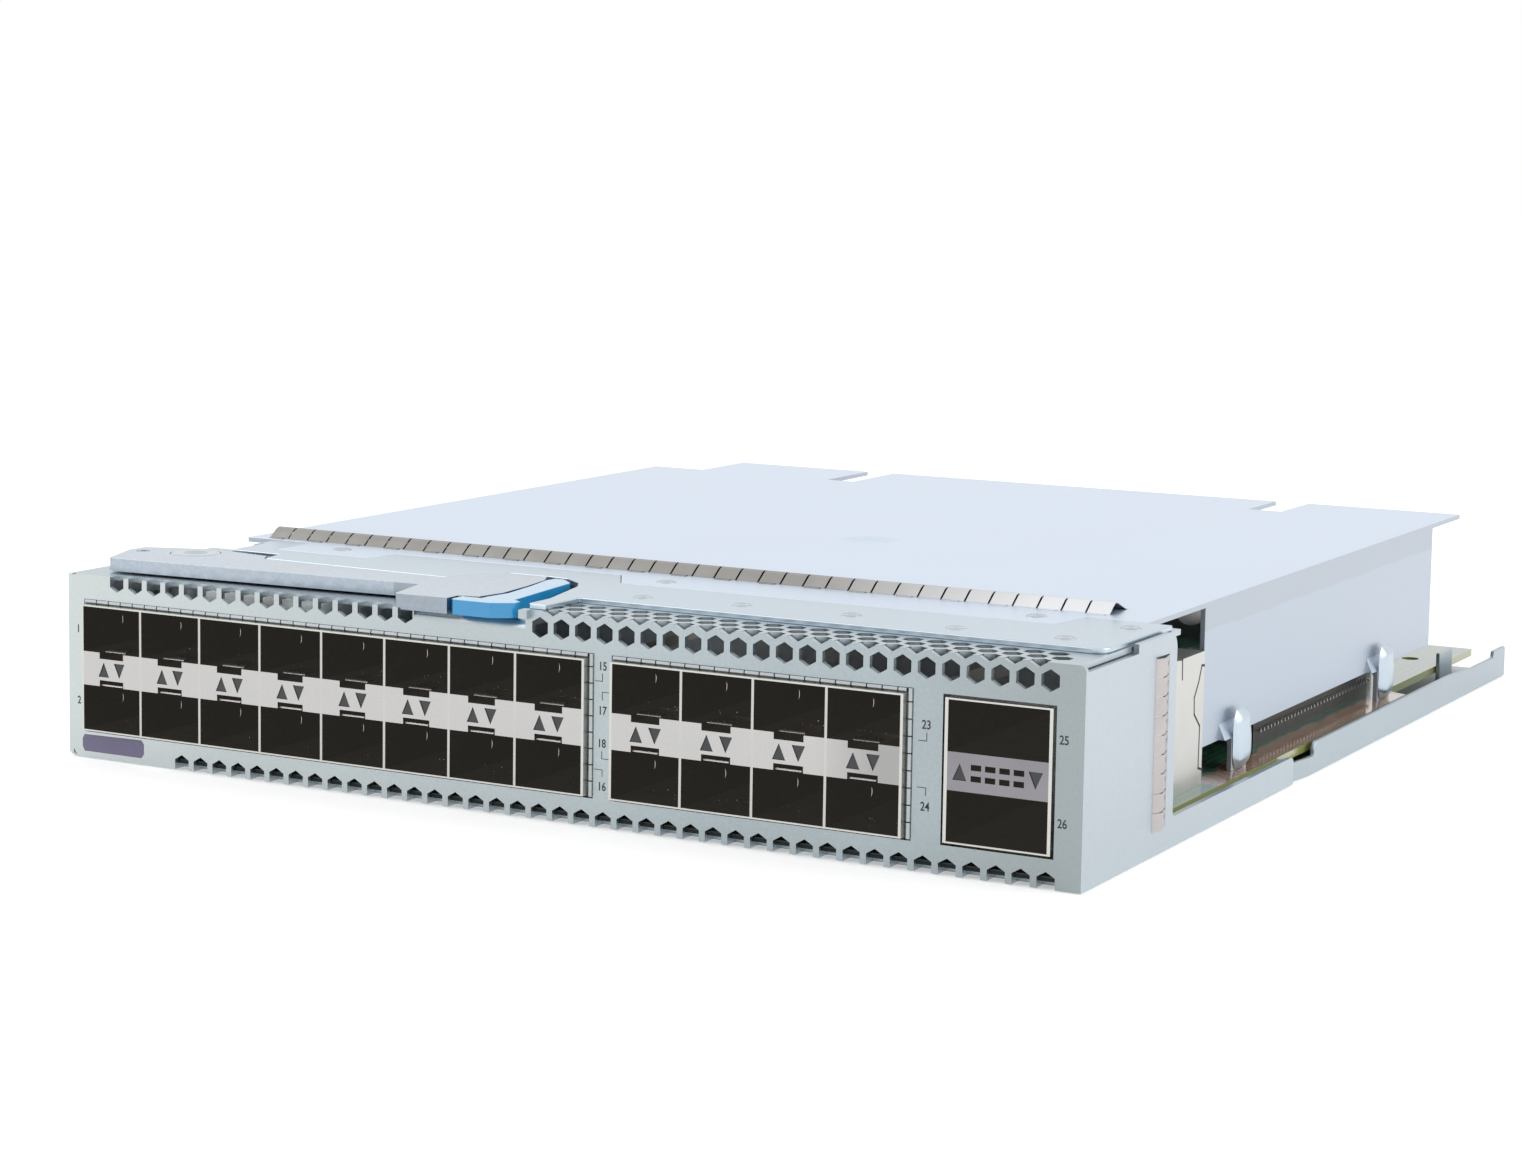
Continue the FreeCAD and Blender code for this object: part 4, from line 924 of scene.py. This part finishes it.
# a black strip of painted shade along the tray's lip behind the lower vents
def shade_strip_behind_vents():
    bm = bmesh.new()
    add_strip(bm, [(1.12, 1.02), (1.12, 1.3), (1.18, 1.6), (1.6, 2.05), (14.0, 2.08)],
              lambda a, b, c: at(c, a, b), LEFT_FACE + 3, RIGHT_FACE - 3, 0.05)
    piece = piece_from("shade_strip_behind_vents", bm)
    piece.data.materials.append(shade_strip_black)


def header_pins():
    low, high = edges_of("side_header")
    bm = bmesh.new()
    y = low[1] + 1.5
    while y < high[1] - 1:
        for level, reach in ((high[2] - 2.6, 0.5), (high[2] - 4.6, 1.1)):
            add_plate(bm, [(y - 0.3, level - 0.3), (y + 0.3, level - 0.3), (y + 0.2, level + 0.35),
                           (y - 0.2, level + 0.35)], lambda a, b, c: at(c, a, b),
                      high[0] - 0.1, high[0] + reach)
        add_plate(bm, [(y - 0.2, high[2] - 0.1), (y + 0.2, high[2] - 0.1),
                       (y + 0.15, high[2] + 0.6), (y - 0.15, high[2] + 0.6)],
                  lambda a, b, c: at(c, a, b), high[0] - 1.5, high[0] - 1.1)
        y += 2.0
    piece = piece_from("header_pins", bm)
    piece.data.materials.append(pin_tin)
    return piece


CAGE_SLITS = [[(55.5, 30.7), (58.2, 30.4), (58.4, 26.7)],
              [(70.8, 27.7), (68.2, 27.9), (66.7, 24.9), (64.7, 22.4), (64.9, 19.3), (67.9, 16.7),
               (67.7, 8.9), (69.4, 8.4)]]


def cage_slits():
    wall = edges_of("qsfp_cage")[1][0]
    depth_limit = edges_of("qsfp_cage")[1][1]
    bm = bmesh.new()
    for slit in CAGE_SLITS:
        for (y0, z0), (y1, z1) in zip(slit, slit[1:]):
            y0, y1 = min(y0, depth_limit), min(y1, depth_limit)
            run = Vector((y1 - y0, z1 - z0))
            if run.length < 0.1:
                continue
            run.normalize()
            side = Vector((-run.y, run.x)) * 0.22
            tip = run * 0.15
            corners = [(y0 - tip.x + side.x, z0 - tip.y + side.y),
                       (y1 + tip.x + side.x, z1 + tip.y + side.y),
                       (y1 + tip.x - side.x, z1 + tip.y - side.y),
                       (y0 - tip.x - side.x, z0 - tip.y - side.y)]
            add_plate(bm, corners, lambda a, b, c: at(c, a, b), wall + 0.005, wall + 0.02)
    piece = piece_from("cage_slits", bm)
    piece.data.materials.append(ink)


def tab_blister(name, front, side):
    """Smooth outward blister over a hook tab: a grid that bulges and closes at its rim."""
    bm = bmesh.new()
    wall = edges_of("top_cover")[1 if side > 0 else 0][0]
    rows, columns = 14, 12
    grid = []
    for i in range(rows + 1):
        v = i / rows
        z = 5.7 + 11.3 * v
        narrow = 1 - 0.45 * max(0, 0.28 - v) ** 2 / 0.0784 - 0.35 * max(0, v - 0.7) ** 2 / 0.09
        line = []
        for j in range(columns + 1):
            u = 2 * j / columns - 1
            bow = (1 - u ** 4) * (1 - abs(2 * v - 1) ** 5)
            out = 0.15 + 1.55 * bow - 0.25 * math.exp(-((v - 0.72) / 0.12) ** 2) * bow
            line.append(bm.verts.new(at(wall + side * out, front + 7.6 + 4.0 * u * narrow, z)))
        grid.append(line)
    for i in range(rows):
        for j in range(columns):
            bm.faces.new((grid[i][j], grid[i][j + 1], grid[i + 1][j + 1], grid[i + 1][j]))
    piece = piece_from(name, bm, corner=60)
    piece.data.materials.append(plate_zinc)
    return piece


shade_strip_behind_vents()
pins = header_pins()
cage_slits()
blisters = [tab_blister("tab_blister_%s_%d" % (side_name, i), front, side)
            for side_name, side in (("right", 1), ("left", -1))
            for i, front in enumerate((80.0, 168.0), 1)]
print("pins:", len(pins.data.polygons) // 18, "blisters:", len(blisters))

# %% Dress the solids
SLOT_LOOKS = {"zinc_steel": face_zinc, "bar_steel": bar_steel, "cage_nickel": divider_tin,
              "spring_nickel": gasket_tin, "blue_plastic": latch_blue, "board_green": board_green,
              "black_plastic": black_plastic, "smoke_plastic": smoke_plastic,
              "heat_sink_alu": sink_alu, "cast_guide": guide_cast}
NODE_LOOKS = {"top_cover": cover_zinc, "lever_plate": plate_zinc, "base_tray": tray_zinc,
              "bands_left": band_tin, "bands_right": band_tin, "qsfp_band": wide_band_tin,
              **cage_looks}
for name, node in nodes.items():
    for slot in node.material_slots:
        key = slot.material.name.split(".")[0] if slot.material else ""
        slot.material = NODE_LOOKS.get(name) or SLOT_LOOKS.get(key) or face_zinc
print("dressed:", len(nodes))
